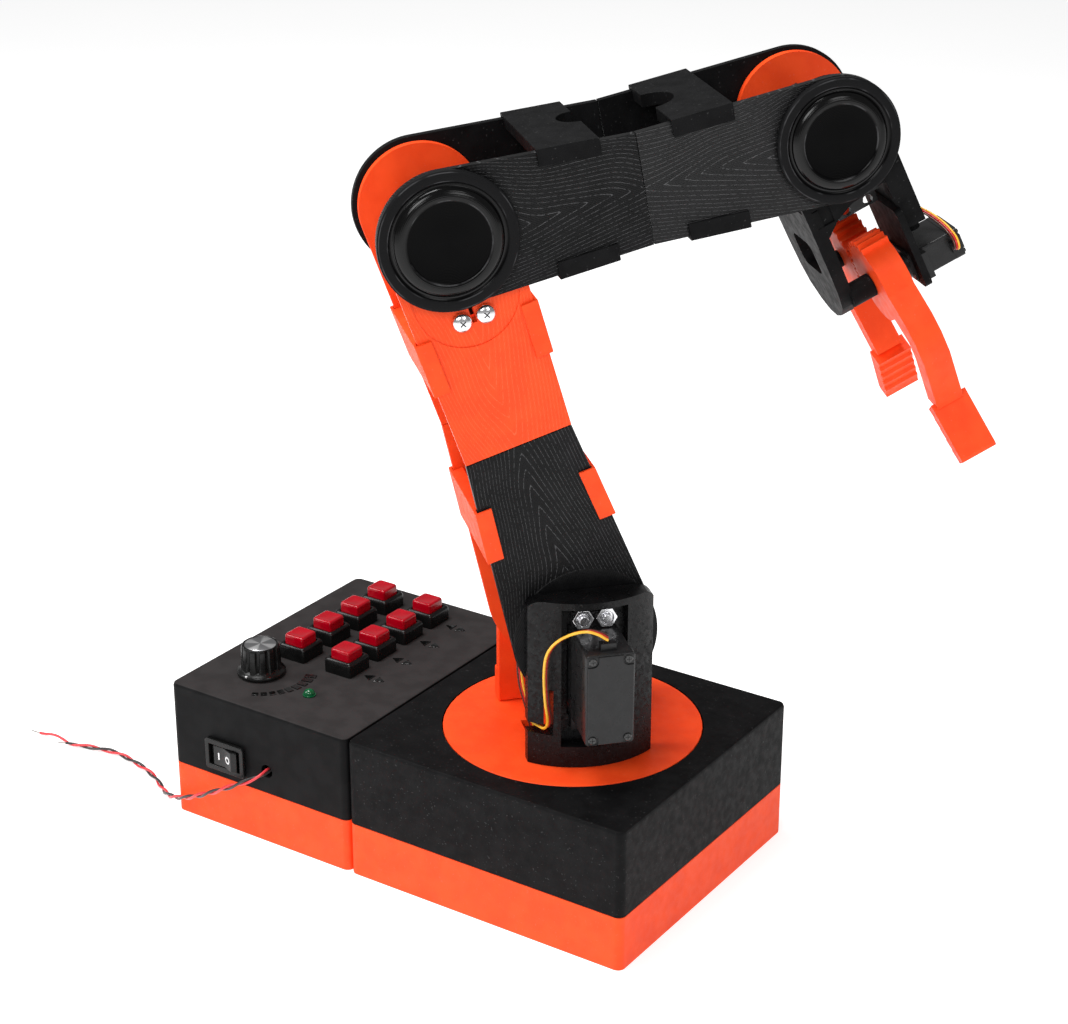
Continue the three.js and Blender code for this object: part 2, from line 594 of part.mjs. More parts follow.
// a hub cover: a raised outer rim, a groove and a shallow domed middle
function hubCover(radius) {
  const profile = [
    [0, 0], [radius, 0], [radius, 2.8], [radius - 1.4, 4.2], [radius * 0.83, 4.2], [radius * 0.76, 2.4],
    [radius * 0.68, 3.2], [0, 4.2],
  ].map(([r, h]) => new THREE.Vector2(r, h));
  const geometry = new THREE.LatheGeometry(profile, 36);
  geometry.rotateZ(Math.PI).translate(0, -FOREARM_PLATE.outer - GAP, 0);
  return solid(geometry);
}

function addForearm(forearm) {
  const { endRadius, tipRadius, seamHalf, length } = FOREARM;
  const half = length / 2 - GAP / 2;
  const rear = [endRadius, half, seamHalf];
  const front = [tipRadius, half, seamHalf];
  const near = [-FOREARM_PLATE.outer, -FOREARM_PLATE.inner];
  const far = [FOREARM_PLATE.inner, FOREARM_PLATE.outer];
  const pinAt = (x) => rod('y', 4, LINK_PLATE.inner + 0.4, far[0] + 1, [x, 0], 24);
  add(forearm, 'forearm_near_rear', BLACK, sidePlate(...rear, near, 3.5));
  add(forearm, 'forearm_near_front', BLACK, sidePlate(...front, near, 3.5, length));
  add(forearm, 'forearm_far_rear', BLACK, union(sidePlate(...rear, far, 0), pinAt(0)));
  add(forearm, 'forearm_far_front', BLACK, union(sidePlate(...front, far, 0, length), pinAt(length)));
  const inner = FOREARM_PLATE.inner - GAP;
  const outer = FOREARM_PLATE.outer;
  const rearEdge = (x) => halfWidth(...rear, x);
  const frontEdge = (x) => halfWidth(...front, length - x);
  const rearBrace = { x0: 40, x1: 65, notch: { radius: 8, at: [65, 5] } };
  const frontBrace = { x0: 94, x1: 119, notch: { radius: 10.5, at: [94, 2] } };
  add(forearm, 'forearm_rear_brace', BLACK, brace({ ...rearBrace, edge: rearEdge, inner, outer }));
  add(forearm, 'forearm_front_brace', BLACK, brace({ ...frontBrace, edge: frontEdge, inner, outer }));
  add(forearm, 'elbow_cover', BLACK, hubCover(28));
  add(forearm, 'wrist_cover', BLACK, hubCover(25.3)).position.set(length, 0, 0);
}

// ---- gripper: X is the reach, the near side is -Y, Z is along the jaws' pivots ----
const FRAME = { half: 25.3, left: [-23.5, -17.8], right: [12.2, 21], servoPlate: [9.2, 12.2] };

// the near cheek: a disc on the wrist axis with a lobe down to each side arm
function nearCheek() {
  const shape = new THREE.Shape();
  shape.moveTo(27, 12);
  shape.lineTo(50, 12);
  shape.lineTo(50, FRAME.right[1]);
  shape.lineTo(15, FRAME.right[1]);
  shape.absarc(0, 0, 24.5, radians(60), radians(270));
  shape.lineTo(20, FRAME.left[0]);
  shape.lineTo(39, FRAME.left[0]);
  shape.lineTo(38, -19);
  shape.lineTo(32, -12);
  shape.lineTo(28.5, -4);
  const pocket = block([23.5, 31.5], [-FRAME.half - 1, -FRAME.half + 0.9], [-20.5, -13]);
  return cut(slabY(shape, -FRAME.half, -22, 24), pocket);
}

// the side plate that carries both jaws' pivots, with a tongue-shaped end
function pivotPlate() {
  const half = [[24, 25.3], [50, 24.5], [62, 23], [70, 19.5], [76, 12], [79, 4]];
  const plan = polygon([...half, ...half.map(([x, y]) => [x, -y]).reverse()]);
  const window = roundedRect([42, 57], [-11, 11], 4);
  return cut(slabZ(plan, ...FRAME.left), slabZ(window, FRAME.left[0] - 1, FRAME.left[1] + 1, 4));
}

// the other side's arm and the plate that the gripper servo is screwed to
function servoArm() {
  const { pivotX, pivotY } = GRIP;
  const [z0, z1] = FRAME.servoPlate;
  const plate = slabZ(roundedRect([38.5, pivotX + 8], [-pivotY - 12.5, 6], 3), z0, z1, 3);
  const neck = block([26, 50], [-FRAME.half, 6], FRAME.right);
  const hollow = block([23, 47], [-FRAME.half + 3, 3], [FRAME.right[0] + 3, FRAME.right[1] - 2.5]);
  const peg = rod('x', 3, 48, 56, [-14, 17.5], 16);
  const half = MICRO.wide / 2 + GAP;
  const y0 = -pivotY - MICRO.shaftEnd - GAP;
  const window = block([pivotX - half, pivotX + half], [y0, y0 + MICRO.long + 2 * GAP], [z0 - 1, z1 + 1]);
  return cut(union(plate, neck, peg), window, hollow);
}

function gripperFrame() {
  const { pivotX, pivotY, low, high } = GRIP;
  const base = FRAME.left[1] - 1;
  const nearSpacer = rod('z', 5, base, low - GAP, [pivotX, -pivotY], 24);
  const farSpacer = rod('z', 3.8, base, low - GAP, [pivotX, pivotY], 24);
  const nearPin = rod('z', 2, base, low + 6, [pivotX, -pivotY], 16);
  const farPin = rod('z', 2, base, high + 1, [pivotX, pivotY], 16);
  const body = union(nearCheek(), pivotPlate(), servoArm(), nearSpacer, farSpacer, nearPin, farPin);
  return cut(body, rod('y', 7, -FRAME.half - 1, -21, [0, 0], 24));
}

function wristDisc() {
  const shape = new THREE.Shape();
  shape.moveTo(31.6, -14);
  shape.lineTo(31.6, 14);
  shape.absarc(0, 0, 24, radians(60), radians(300));
  return cut(slabY(shape, 22, 25.3, 40), rod('y', 4.4, 21, 27, [0, 0], 24));
}

// one tooth of a jaw's gear, centred on the given direction
function tooth(direction) {
  const at = (radius, offset) => {
    const angle = direction + radians(offset);
    return [radius * Math.cos(angle), radius * Math.sin(angle)];
  };
  const shape = polygon([at(16.5, -2.9), at(GRIP.tip, -1.4), at(GRIP.tip, 1.4), at(16.5, 2.9)]);
  return slabZ(shape, GRIP.low, GRIP.high);
}

// A jaw about its pivot: a toothed hub, a finger that leaves it outwards and bends back in, and
// a ribbed pad across the tip. side is -1 for the near jaw and 1 for the far one.
function jaw(side, firstTooth, boreTop) {
  const { low, high, root } = GRIP;
  const pitch = 360 / GRIP.teeth;
  const teeth = Array.from({ length: 13 }, (_, i) => tooth(-side * radians(firstTooth + (i - 3) * pitch)));
  const hub = rod('z', root, low, high, [0, 0], 30);
  const place = ([x, y]) => [x, side * y];
  const finger = polygon([
    [-6, 12], [2, 18.5], [12, 25.5], [20, 28], [30, 27.8], [56, 18.6], [54, 9.6],
    [30, 18.4], [22, 18.6], [14, 12], [8, 2],
  ].map(place));
  const slope = radians(27);
  const along = ([s, t]) => place([57.5 + s * Math.cos(slope) - t * Math.sin(slope), 9.2 + s * Math.sin(slope) + t * Math.cos(slope)]);
  const ribs = [0, 1, 2, 3, 4].flatMap((i) => [[1 + i * 5, 0], [1 + i * 5 + 4, 1.1]]);
  const pad = polygon([[0, 8], ...ribs, [27, 1], [27, 7], [25.5, 8]].map(along));
  const padSolid = slabZ(pad, low - 1.5, high + 2.5);
  const pinBore = rod('z', 2.3, low - 1, high + 1, [0, 0], 20);
  const driveBore = rod('z', 2.6, boreTop, high + 1, [0, 0], 20);
  return cut(union(hub, slabZ(finger, low, high), padSolid, ...teeth), pinBore, driveBore);
}

const GRIPPER_LEAD_ROUTE = [
  [67, -28.2, 27], [65.6, -29.6, 27.4], [62.2, -27.4, 28.2], [58.2, -21.4, 27.8], [54, -14.6, 25.8],
  [51, -9, 23.4], [46.5, -5.6, 22.6], [40, -5, 22.6], [33, -5.6, 22.6], [26, -6.4, 22.6],
];

function addGripper(gripper) {
  const { pivotX, pivotY } = GRIP;
  add(gripper, 'wrist_far_plate', ORANGE, wristDisc());
  add(gripper, 'gripper_frame', BLACK, gripperFrame());
  const wristServo = add(gripper, 'wrist_servo', SERVO_CASE, standardServo(7.5));
  wristServo.position.set(0, -SERVO_FRONT, 0);
  orient(wristServo, reversed(AXIS.x), reversed(AXIS.y));
  const servo = add(gripper, 'gripper_servo', SERVO_CASE, microServo(7));
  servo.position.set(pivotX, -pivotY, FRAME.servoPlate[0] - 1);
  orient(servo, reversed(AXIS.y), reversed(AXIS.z));
  add(gripper, 'gripper_lead', LEAD_ORANGE, tube(GRIPPER_LEAD_ROUTE, roundSection(1), 24));
  const nearJaw = add(gripper, 'jaw_near', ORANGE, jaw(-1, 90, GRIP.low + 8));
  nearJaw.position.set(pivotX, -pivotY, 0);
  const farJaw = add(gripper, 'jaw_far', ORANGE, jaw(1, 90 + 180 / GRIP.teeth, GRIP.high));
  farJaw.position.set(pivotX, pivotY, 0);
}

// ---- assembly ----
const robot = new THREE.Group();
addBase(robot);

const waist = new THREE.Group();
waist.rotation.z = radians(ARM_YAW);
robot.add(waist);
addTower(waist);

const link = new THREE.Group();
link.position.set(SHOULDER.x, 0, SHOULDER.z);
link.rotation.y = -radians(LINK.lean);
waist.add(link);
addLowerLink(link);

const forearm = new THREE.Group();
forearm.position.set(LINK.length, 0, 0);
forearm.rotation.y = radians(FOREARM.fold);
link.add(forearm);
addForearm(forearm);

const gripper = new THREE.Group();
gripper.position.set(FOREARM.length, 0, 0);
gripper.rotation.y = radians(WRIST_FOLD);
forearm.add(gripper);
addGripper(gripper);

export default robot;
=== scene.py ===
"""A desktop robot arm, printed in orange and black, on a pale studio floor.

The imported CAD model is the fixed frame. This script gives its nodes worked edges and printed
materials, and adds the pieces that the CAD model keeps plain. Lengths in a piece's own frame are
millimetres; the frame's matrix turns them into metres.
"""

import json
import math

import bmesh
import bpy
from mathutils import Matrix, Vector


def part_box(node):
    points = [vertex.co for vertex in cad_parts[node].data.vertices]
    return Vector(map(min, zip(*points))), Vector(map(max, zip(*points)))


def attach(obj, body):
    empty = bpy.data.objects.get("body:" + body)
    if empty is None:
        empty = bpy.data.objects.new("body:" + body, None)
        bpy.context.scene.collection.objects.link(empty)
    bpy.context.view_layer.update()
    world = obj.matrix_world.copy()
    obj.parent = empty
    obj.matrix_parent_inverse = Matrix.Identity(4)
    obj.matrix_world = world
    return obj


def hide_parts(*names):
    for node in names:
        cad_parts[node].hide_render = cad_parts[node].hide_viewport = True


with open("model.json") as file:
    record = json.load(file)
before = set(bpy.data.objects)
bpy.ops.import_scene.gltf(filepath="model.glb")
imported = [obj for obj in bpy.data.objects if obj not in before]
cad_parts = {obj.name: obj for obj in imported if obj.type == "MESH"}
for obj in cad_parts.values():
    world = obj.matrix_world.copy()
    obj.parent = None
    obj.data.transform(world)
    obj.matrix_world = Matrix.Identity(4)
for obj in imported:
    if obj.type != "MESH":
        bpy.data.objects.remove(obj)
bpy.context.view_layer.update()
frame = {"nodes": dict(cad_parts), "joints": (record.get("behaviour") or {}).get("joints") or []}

MM = 0.001
NODES = frame["nodes"]
JOINTS = {joint["name"]: joint for joint in frame["joints"]}

# ---- camera and light ----
AZIMUTH = 33.88
ELEVATION = 23.01
CAMERA_AT = (0.5022, -0.7781, 0.5577)
LENS = 80.9


def make_camera():
    data = bpy.data.cameras.new("camera")
    data.lens = LENS
    data.sensor_width = 36
    camera = bpy.data.objects.new("camera", data)
    camera.location = CAMERA_AT
    camera.rotation_euler = (math.radians(90 - ELEVATION), 0, math.radians(AZIMUTH))
    bpy.context.scene.collection.objects.link(camera)
    bpy.context.scene.camera = camera


def area_light(name, location, target, size, power):
    data = bpy.data.lights.new(name, "AREA")
    data.shape = "RECTANGLE"
    data.size, data.size_y = size
    data.energy = power
    light = bpy.data.objects.new(name, data)
    light.location = location
    aim = Vector(target) - Vector(location)
    light.rotation_euler = aim.to_track_quat("-Z", "Y").to_euler()
    bpy.context.scene.collection.objects.link(light)


# Each lamp's place in metres, its width and height in metres, and its power in watts.
LAMPS = {
    "overhead": ((-0.35, -0.2, 1.5), (0.6, 0.6), 17),
    "left_box": ((-1.1, -0.75, 0.95), (0.45, 0.7), 9),
    "right_box": ((1.25, -0.5, 1.0), (0.4, 0.7), 3.5),
    "front_box": ((0.35, -1.3, 1.1), (0.7, 0.5), 9),
}
LIT_POINT = (0, 0, 0.15)
WORLD_STRENGTH = 0.25


def make_lights():
    world = bpy.data.worlds.new("studio")
    world.use_nodes = True
    world.node_tree.nodes["Background"].inputs["Color"].default_value = (1, 1, 1, 1)
    world.node_tree.nodes["Background"].inputs["Strength"].default_value = WORLD_STRENGTH
    bpy.context.scene.world = world
    for name, (location, size, power) in LAMPS.items():
        area_light(name, location, LIT_POINT, size, power)


make_camera()
make_lights()
bpy.context.scene.view_settings.view_transform = "Standard"


# ---- the arm's own frames, in millimetres ----
def joint_at(name):
    return Vector(JOINTS[name]["pos_m"])


def local_frame(origin, along, side):
    """A matrix from a frame in millimetres to the row's frame: X along, Y to the far side."""
    x = along.normalized()
    y = side.normalized()
    z = x.cross(y)
    turn = Matrix((x, y, z)).transposed().to_4x4()
    return Matrix.Translation(origin) @ turn @ Matrix.Scale(MM, 4)


FAR = Vector(JOINTS["shoulder_lean"]["axis"])
UP = Vector((0, 0, 1))
SHOULDER, ELBOW, WRIST = (joint_at(name) for name in ("shoulder_lean", "elbow_bend", "wrist_bend"))
JAW_MIDDLE = (joint_at("near_jaw_turn") + joint_at("far_jaw_turn")) / 2

BASE = Matrix.Scale(MM, 4)
WAIST = local_frame(Vector((0, 0, 0)), FAR.cross(UP), FAR)
LINK = local_frame(SHOULDER, ELBOW - SHOULDER, FAR)
FOREARM = local_frame(ELBOW, WRIST - ELBOW, FAR)
GRIPPER = local_frame(WRIST, JAW_MIDDLE - WRIST, FAR)
LINK_LENGTH = (ELBOW - SHOULDER).length / MM
FOREARM_LENGTH = (WRIST - ELBOW).length / MM


# ---- material nodes ----
class Graph:
    """A material's nodes, built by calls that take numbers or sockets."""

    def __init__(self, name):
        self.material = bpy.data.materials.new(name)
        self.material.use_nodes = True
        self.tree = self.material.node_tree
        self.shader = self.tree.nodes["Principled BSDF"]

    def put(self, socket, value):
        if isinstance(value, bpy.types.NodeSocket):
            self.tree.links.new(value, socket)
        else:
            socket.default_value = value

    def node(self, kind, **settings):
        node = self.tree.nodes.new(kind)
        for key, value in settings.items():
            setattr(node, key, value)
        return node

    def math(self, operation, *values):
        node = self.node("ShaderNodeMath", operation=operation)
        for socket, value in zip(node.inputs, values):
            self.put(socket, value)
        return node.outputs[0]

    def position(self):
        """A point of the object in the row's frame, in metres, which stays with it in every pose."""
        return self.node("ShaderNodeTexCoord").outputs["Object"]

    def hypot(self, first, second):
        """The length of a vector from its two parts."""
        squares = [self.math("MULTIPLY", part, part) for part in (first, second)]
        return self.math("SQRT", self.math("ADD", *squares))

    def along(self, matrix, axis):
        """How far a point lies along one axis of a millimetre frame."""
        inverse = matrix.inverted()
        dot = self.node("ShaderNodeVectorMath", operation="DOT_PRODUCT")
        self.put(dot.inputs[0], self.position())
        dot.inputs[1].default_value = inverse[axis][:3]
        return self.math("ADD", dot.outputs["Value"], inverse[axis][3])

    def noise(self, size, detail=2.0, stretch=(1, 1, 1)):
        """Noise from 0 to 1 with patches of about the given size in millimetres."""
        mapping = self.node("ShaderNodeMapping")
        self.put(mapping.inputs["Vector"], self.position())
        mapping.inputs["Scale"].default_value = stretch
        noise = self.node("ShaderNodeTexNoise")
        self.put(noise.inputs["Vector"], mapping.outputs["Vector"])
        noise.inputs["Scale"].default_value = 1 / (size * MM)
        noise.inputs["Detail"].default_value = detail
        return noise.outputs["Fac"]

    def ramp(self, value, low, high, to_low=0.0, to_high=1.0):
        node = self.node("ShaderNodeMapRange", interpolation_type="SMOOTHSTEP")
        for socket, number in zip(node.inputs, (value, low, high, to_low, to_high)):
            self.put(socket, number)
        return node.outputs["Result"]

    def mix(self, share, first, second):
        node = self.node("ShaderNodeMix", data_type="RGBA")
        self.put(node.inputs["Factor"], share)
        self.put(node.inputs["A"], (*first, 1) if isinstance(first, tuple) else first)
        self.put(node.inputs["B"], (*second, 1) if isinstance(second, tuple) else second)
        return node.outputs["Result"]

    def bump(self, height, depth, strength=1.0):
        """Relief of the given depth in millimetres."""
        node = self.node("ShaderNodeBump")
        node.inputs["Strength"].default_value = strength
        node.inputs["Distance"].default_value = depth * MM
        self.put(node.inputs["Height"], height)
        self.put(self.shader.inputs["Normal"], node.outputs["Normal"])

    def surface(self, color, roughness, metallic=0.0, specular=0.5):
        inputs = self.shader.inputs
        self.put(inputs["Base Color"], (*color, 1) if isinstance(color, tuple) else color)
        self.put(inputs["Roughness"], roughness)
        inputs["Metallic"].default_value = metallic
        self.put(inputs["Specular IOR Level"], specular)
        return self.material


LAYER = 0.55  # spacing of the print lines, a few layers together, millimetres


def layer_lines(graph, matrix, axis, pitch=LAYER):
    """Fine ridges across one axis of a frame, uneven in height as printed layers are."""
    place = graph.along(matrix, axis)
    wave = graph.math("SINE", graph.math("MULTIPLY", place, 2 * math.pi / pitch))
    uneven = graph.ramp(graph.noise(1.6, 3.0), 0.3, 0.7, 0.2, 1.0)
    return graph.math("MULTIPLY", graph.math("MULTIPLY", wave, 0.5), uneven)


def printed(name, tones, roughness, matrix, axis, specular=0.5, depth=0.05):
    """Printed plastic: two close tones, layer lines across an axis, and scattered rough specks."""
    graph = Graph(name)
    tone = graph.ramp(graph.noise(9, 3.0), 0.35, 0.65)
    color = graph.mix(tone, *tones)
    gloss = graph.ramp(graph.noise(4, 4.0), 0.3, 0.7, roughness - 0.06, roughness + 0.08)
    lines = layer_lines(graph, matrix, axis)
    grit = graph.math("MULTIPLY", graph.noise(0.7, 2.0), 0.6)
    graph.bump(graph.math("ADD", lines, grit), depth)
    specks = graph.ramp(graph.noise(1.1, 1.0), 0.7, 0.76, 0.0, 0.5)
    color = graph.mix(specks, color, tuple(min(1.0, 0.055 + 0.9 * v) for v in tones[0]))
    return graph.surface(color, gloss, specular=specular)


ORANGE_TONES = ((1.0, 0.08, 0.012), (0.95, 0.068, 0.01))
BLACK_TONES = ((0.0035, 0.0035, 0.0038), (0.006, 0.006, 0.0064))
PANEL_TONES = ((0.027, 0.0245, 0.0245), (0.034, 0.031, 0.031))


# The plates' grain, in millimetres.
TERRACE = 8.5  # width of a terrace along the plate's middle
TONGUE = 115  # how far a tongue has fallen back at the plate's edge
HALF_PLATE = 23  # distance from the middle at which TONGUE holds
DRIFT = 30  # how far the terraces wander
THREAD = 0.7  # pitch of the printed threads that run along the plate
DISC_ROUGHNESS = 0.3


def grained(name, tones, glint_tone, matrix, hub, seam, disc, roughness, specular, depth):
    """A plate's printed face: terraces in nested tongues that open at the hub and point to the seam.

    Around the hub the face is a smooth raised disc of the given radius. The terrace edges carry lighter
    beaded dots, a painted highlight.
    """
    graph = Graph(name)
    reach = seam - hub
    from_hub = graph.math("SUBTRACT", graph.along(matrix, 0), hub)
    x = graph.math("DIVIDE", from_hub, math.copysign(1, reach))
    z = graph.along(matrix, 2)
    drift = graph.math("MULTIPLY", graph.math("SUBTRACT", graph.noise(45, 1.0), 0.5), DRIFT)
    off_axis = graph.math("ADD", z, graph.math("MULTIPLY", drift, 0.35))
    bend = graph.math("POWER", graph.math("ABSOLUTE", graph.math("DIVIDE", off_axis, HALF_PLATE)), 1.25)
    tongue = graph.math("ADD", x, graph.math("MULTIPLY", bend, TONGUE))
    wobble = graph.math("MULTIPLY", graph.noise(1.1, 1.0), 1.6)
    height = graph.math("ADD", graph.math("ADD", tongue, drift), wobble)
    step = graph.math("FRACT", graph.math("DIVIDE", height, TERRACE))
    edge = graph.ramp(graph.math("ABSOLUTE", graph.math("SUBTRACT", step, 0.5)), 0.0, 0.08, 1.0, 0.0)
    thread = graph.math("SINE", graph.math("MULTIPLY", z, 2 * math.pi / THREAD))
    beads = graph.ramp(graph.noise(1.0, 1.0), 0.34, 0.56)
    out = graph.hypot(x, z)
    beyond = graph.ramp(out, disc - 0.4, disc + 0.4)
    # The terrace edges are painted lighter in beaded dots: a painted highlight where the edges catch the
    # light.
    glint_dots = graph.math("MULTIPLY", graph.math("MULTIPLY", edge, beads), beyond)
    tone = graph.mix(graph.ramp(graph.noise(9, 3.0), 0.35, 0.65), *tones)
    color = graph.mix(glint_dots, tone, glint_tone)
    terrace = graph.ramp(beyond, 0.0, 1.0, 3.0, graph.math("MULTIPLY", step, 1.4))
    relief = graph.math("ADD", terrace, graph.math("MULTIPLY", thread, 0.22))
    relief = graph.math("ADD", relief, graph.math("MULTIPLY", graph.noise(0.9, 2.0), 0.5))
    graph.bump(relief, depth)
    gloss = graph.ramp(beyond, 0.0, 1.0, DISC_ROUGHNESS, roughness)
    return graph.surface(color, gloss, specular=specular)


def plain(name, tones, roughness, metallic=0.0, specular=0.5, depth=0.01, grain=0.5):
    """Moulded or plated material: two close tones and a fine surface grain."""
    graph = Graph(name)
    color = graph.mix(graph.ramp(graph.noise(5, 3.0), 0.3, 0.7), *tones)
    graph.bump(graph.noise(grain, 3.0), depth)
    gloss = graph.ramp(graph.noise(3, 3.0), 0.3, 0.7, roughness - 0.04, roughness + 0.06)
    return graph.surface(color, gloss, metallic, specular)


# The frame of each group of parts, and the axis that its print layers are stacked along.
PRINT_DIRECTIONS = {
    "base": (BASE, 2),
    "waist": (WAIST, 2),
    "link": (LINK, 1),
    "forearm": (FOREARM, 1),
    "gripper": (GRIPPER, 2),
}


def print_set(prefix, tones, roughness, specular):
    """One printed material for each body's own print direction."""
    return {
        key: printed(f"{prefix}_{key}", tones, roughness, *direction, specular)
        for key, direction in PRINT_DIRECTIONS.items()
    }


ORANGE = print_set("orange_print", ORANGE_TONES, 0.5, 0.2)
BLACK = print_set("black_print", BLACK_TONES, 0.54, 0.08)
BLACK["waist"] = printed("black_print_tower", BLACK_TONES, 0.28, WAIST, 2, 0.2, 0.09)

PANEL_FACE = 64.6  # the panel's own colour starts at this height; the walls below it are black


def panel_print():
    """The control box's cover: black walls under a greyer, matt top face."""
    graph = Graph("panel_print")
    tone = graph.ramp(graph.noise(9, 3.0), 0.35, 0.65)
    is_top = graph.ramp(graph.along(BASE, 2), PANEL_FACE, PANEL_FACE + 0.3)
    color = graph.mix(is_top, graph.mix(tone, *BLACK_TONES), graph.mix(tone, *PANEL_TONES))
    grit = graph.math("MULTIPLY", graph.noise(0.7, 2.0), 0.6)
    graph.bump(graph.math("ADD", layer_lines(graph, BASE, 2), grit), 0.03)
    return graph.surface(color, graph.ramp(is_top, 0.0, 1.0, 0.54, 0.6), specular=0.08)


PANEL = panel_print()
HALF_LINK = LINK_LENGTH / 2
HALF_FOREARM = FOREARM_LENGTH / 2
# Each pair gives a plate's two tones, then the lighter tone of the painted highlight dots on its terrace
# edges.
BLACK_GRAIN_GLINT = (BLACK_TONES, (0.085, 0.085, 0.088))
ORANGE_GRAIN_GLINT = (ORANGE_TONES, (1.0, 0.13, 0.045))
# Each plate's frame, and where its hub and its seam are along it.
LOWER_HALF = (LINK, 0, HALF_LINK)
UPPER_HALF = (LINK, LINK_LENGTH, HALF_LINK)
REAR_HALF = (FOREARM, 0, HALF_FOREARM)
FRONT_HALF = (FOREARM, FOREARM_LENGTH, HALF_FOREARM)
# After the plate: the smooth disc's radius, then roughness, specular level and depth of the relief.
GRAIN = {
    "link_near_lower": grained("grain_link_lower", *BLACK_GRAIN_GLINT, *LOWER_HALF, 31, 0.38, 0.14, 0.16),
    "link_near_upper": grained("grain_link_upper", *ORANGE_GRAIN_GLINT, *UPPER_HALF, 22, 0.42, 0.22, 0.07),
    "forearm_near_rear": grained("grain_forearm_rear", *BLACK_GRAIN_GLINT, *REAR_HALF, 22, 0.38, 0.14, 0.18),
    "forearm_near_front": grained("grain_forearm_front", *BLACK_GRAIN_GLINT, *FRONT_HALF, 22, 0.38, 0.25, 0.18),
}
SERVO_TONES = ((0.009, 0.009, 0.0095), (0.013, 0.013, 0.0135))
SERVO_CASE = plain("servo_plastic", SERVO_TONES, 0.3, specular=0.3, depth=0.02, grain=0.25)
RED_CAP = plain("red_cap", ((0.4, 0.0, 0.009), (0.35, 0.0, 0.007)), 0.16, specular=0.35, depth=0.002)
SWITCH_TONES = ((0.004, 0.004, 0.004), (0.006, 0.006, 0.006))
SWITCH_BLACK = plain("black_switch", SWITCH_TONES, 0.26, specular=0.25, depth=0.0015, grain=0.8)
STEEL = plain("steel", ((0.86, 0.86, 0.88), (0.76, 0.76, 0.78)), 0.2, metallic=1.0, depth=0.01)
BOARD = plain("circuit_board", ((0.01, 0.09, 0.035), (0.012, 0.11, 0.04)), 0.4, depth=0.02)
LED_GREEN = plain("led_green", ((0.0, 0.075, 0.022), (0.0, 0.09, 0.028)), 0.06, depth=0.002)


# ---- CAD nodes: materials and worked edges ----
WELD_REACH = 0.002
FLAT_LIMIT = math.radians(0.6)
EDGE_LIMIT = math.radians(28)


def soften(name, width, segments=2):
    """Rounds a node's sharp edges with modifiers; its own mesh and place stay as they are."""
    node = NODES[name]
    weld = node.modifiers.new("weld", "WELD")
    weld.merge_threshold = WELD_REACH * MM
    flat = node.modifiers.new("flat", "DECIMATE")
    flat.decimate_type = "DISSOLVE"
    flat.angle_limit = FLAT_LIMIT
    bevel = node.modifiers.new("bevel", "BEVEL")
    bevel.width = width * MM
    bevel.segments = segments
    bevel.limit_method = "ANGLE"
    bevel.angle_limit = EDGE_LIMIT
    bevel.use_clamp_overlap = True
    node.modifiers.new("normals", "WEIGHTED_NORMAL").keep_sharp = False


def dress(names, material, width):
    for name in names.split():
        NODES[name].data.materials.clear()
        NODES[name].data.materials.append(material)
        if width:
            soften(name, width)


def dress_nodes():
    dress("arm_tray control_tray", ORANGE["base"], 0.5)
    dress("arm_cover", BLACK["base"], 0.4)
    dress("control_cover", PANEL, 0.4)
    dress("control_board", BOARD, 0.2)
    dress("potentiometer", STEEL, 0.2)
    dress("status_led", LED_GREEN, 0)
    dress("switch_body switch_rocker speed_knob", SWITCH_BLACK, 0.3)
    dress(" ".join(f"button_body_{i}" for i in range(1, 9)), SWITCH_BLACK, 0.4)
    dress(" ".join(f"button_cap_{i}" for i in range(1, 9)), RED_CAP, 0.3)
    dress("waist_servo shoulder_servo elbow_servo wrist_servo gripper_servo", SERVO_CASE, 0.3)
    dress("turntable", ORANGE["waist"], 0.4)
    dress("tower_upright", ORANGE["waist"], 0.6)
    dress("tower_bracket", BLACK["waist"], 1.2)
    dress("shoulder_nut_left shoulder_nut_right", STEEL, 0.25)
    dress("elbow_screw_left elbow_screw_right", STEEL, 0.25)
    dress("link_far_lower link_far_upper link_lower_brace link_upper_brace", ORANGE["link"], 0.3)
    dress("forearm_far_rear forearm_far_front", BLACK["forearm"], 0.3)
    dress("forearm_rear_brace forearm_front_brace", BLACK["forearm"], 0.3)
    dress("elbow_cover wrist_cover", BLACK["forearm"], 0)
    dress("wrist_far_plate jaw_near jaw_far", ORANGE["gripper"], 0.5)
    dress("gripper_frame", BLACK["gripper"], 0.5)
    for name, material in GRAIN.items():
        dress(name, material, 0.4)


dress_nodes()


# ---- pieces ----
SMOOTH_LIMIT = math.radians(38)


def mesh_from(bm, name, matrix):
    """A smooth-shaded mesh of the bmesh, moved from its own frame to the row's."""
    bmesh.ops.transform(bm, matrix=matrix, verts=bm.verts)
    bmesh.ops.recalc_face_normals(bm, faces=bm.faces)
    mesh = bpy.data.meshes.new(name)
    bm.to_mesh(mesh)
    bm.free()
    mesh.shade_smooth()
    mesh.set_sharp_from_angle(angle=SMOOTH_LIMIT)
    return mesh


def finish_piece(name, bm, matrix, materials, body, slot, replaces=()):
    """An object for a bmesh in a millimetre frame, riding on its body."""
    mesh = mesh_from(bm, name, matrix)
    for material in materials:
        mesh.materials.append(material)
    piece = bpy.data.objects.new(name, mesh)
    bpy.context.scene.collection.objects.link(piece)
    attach(piece, body)
    if replaces:
        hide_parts(*replaces)
    return piece


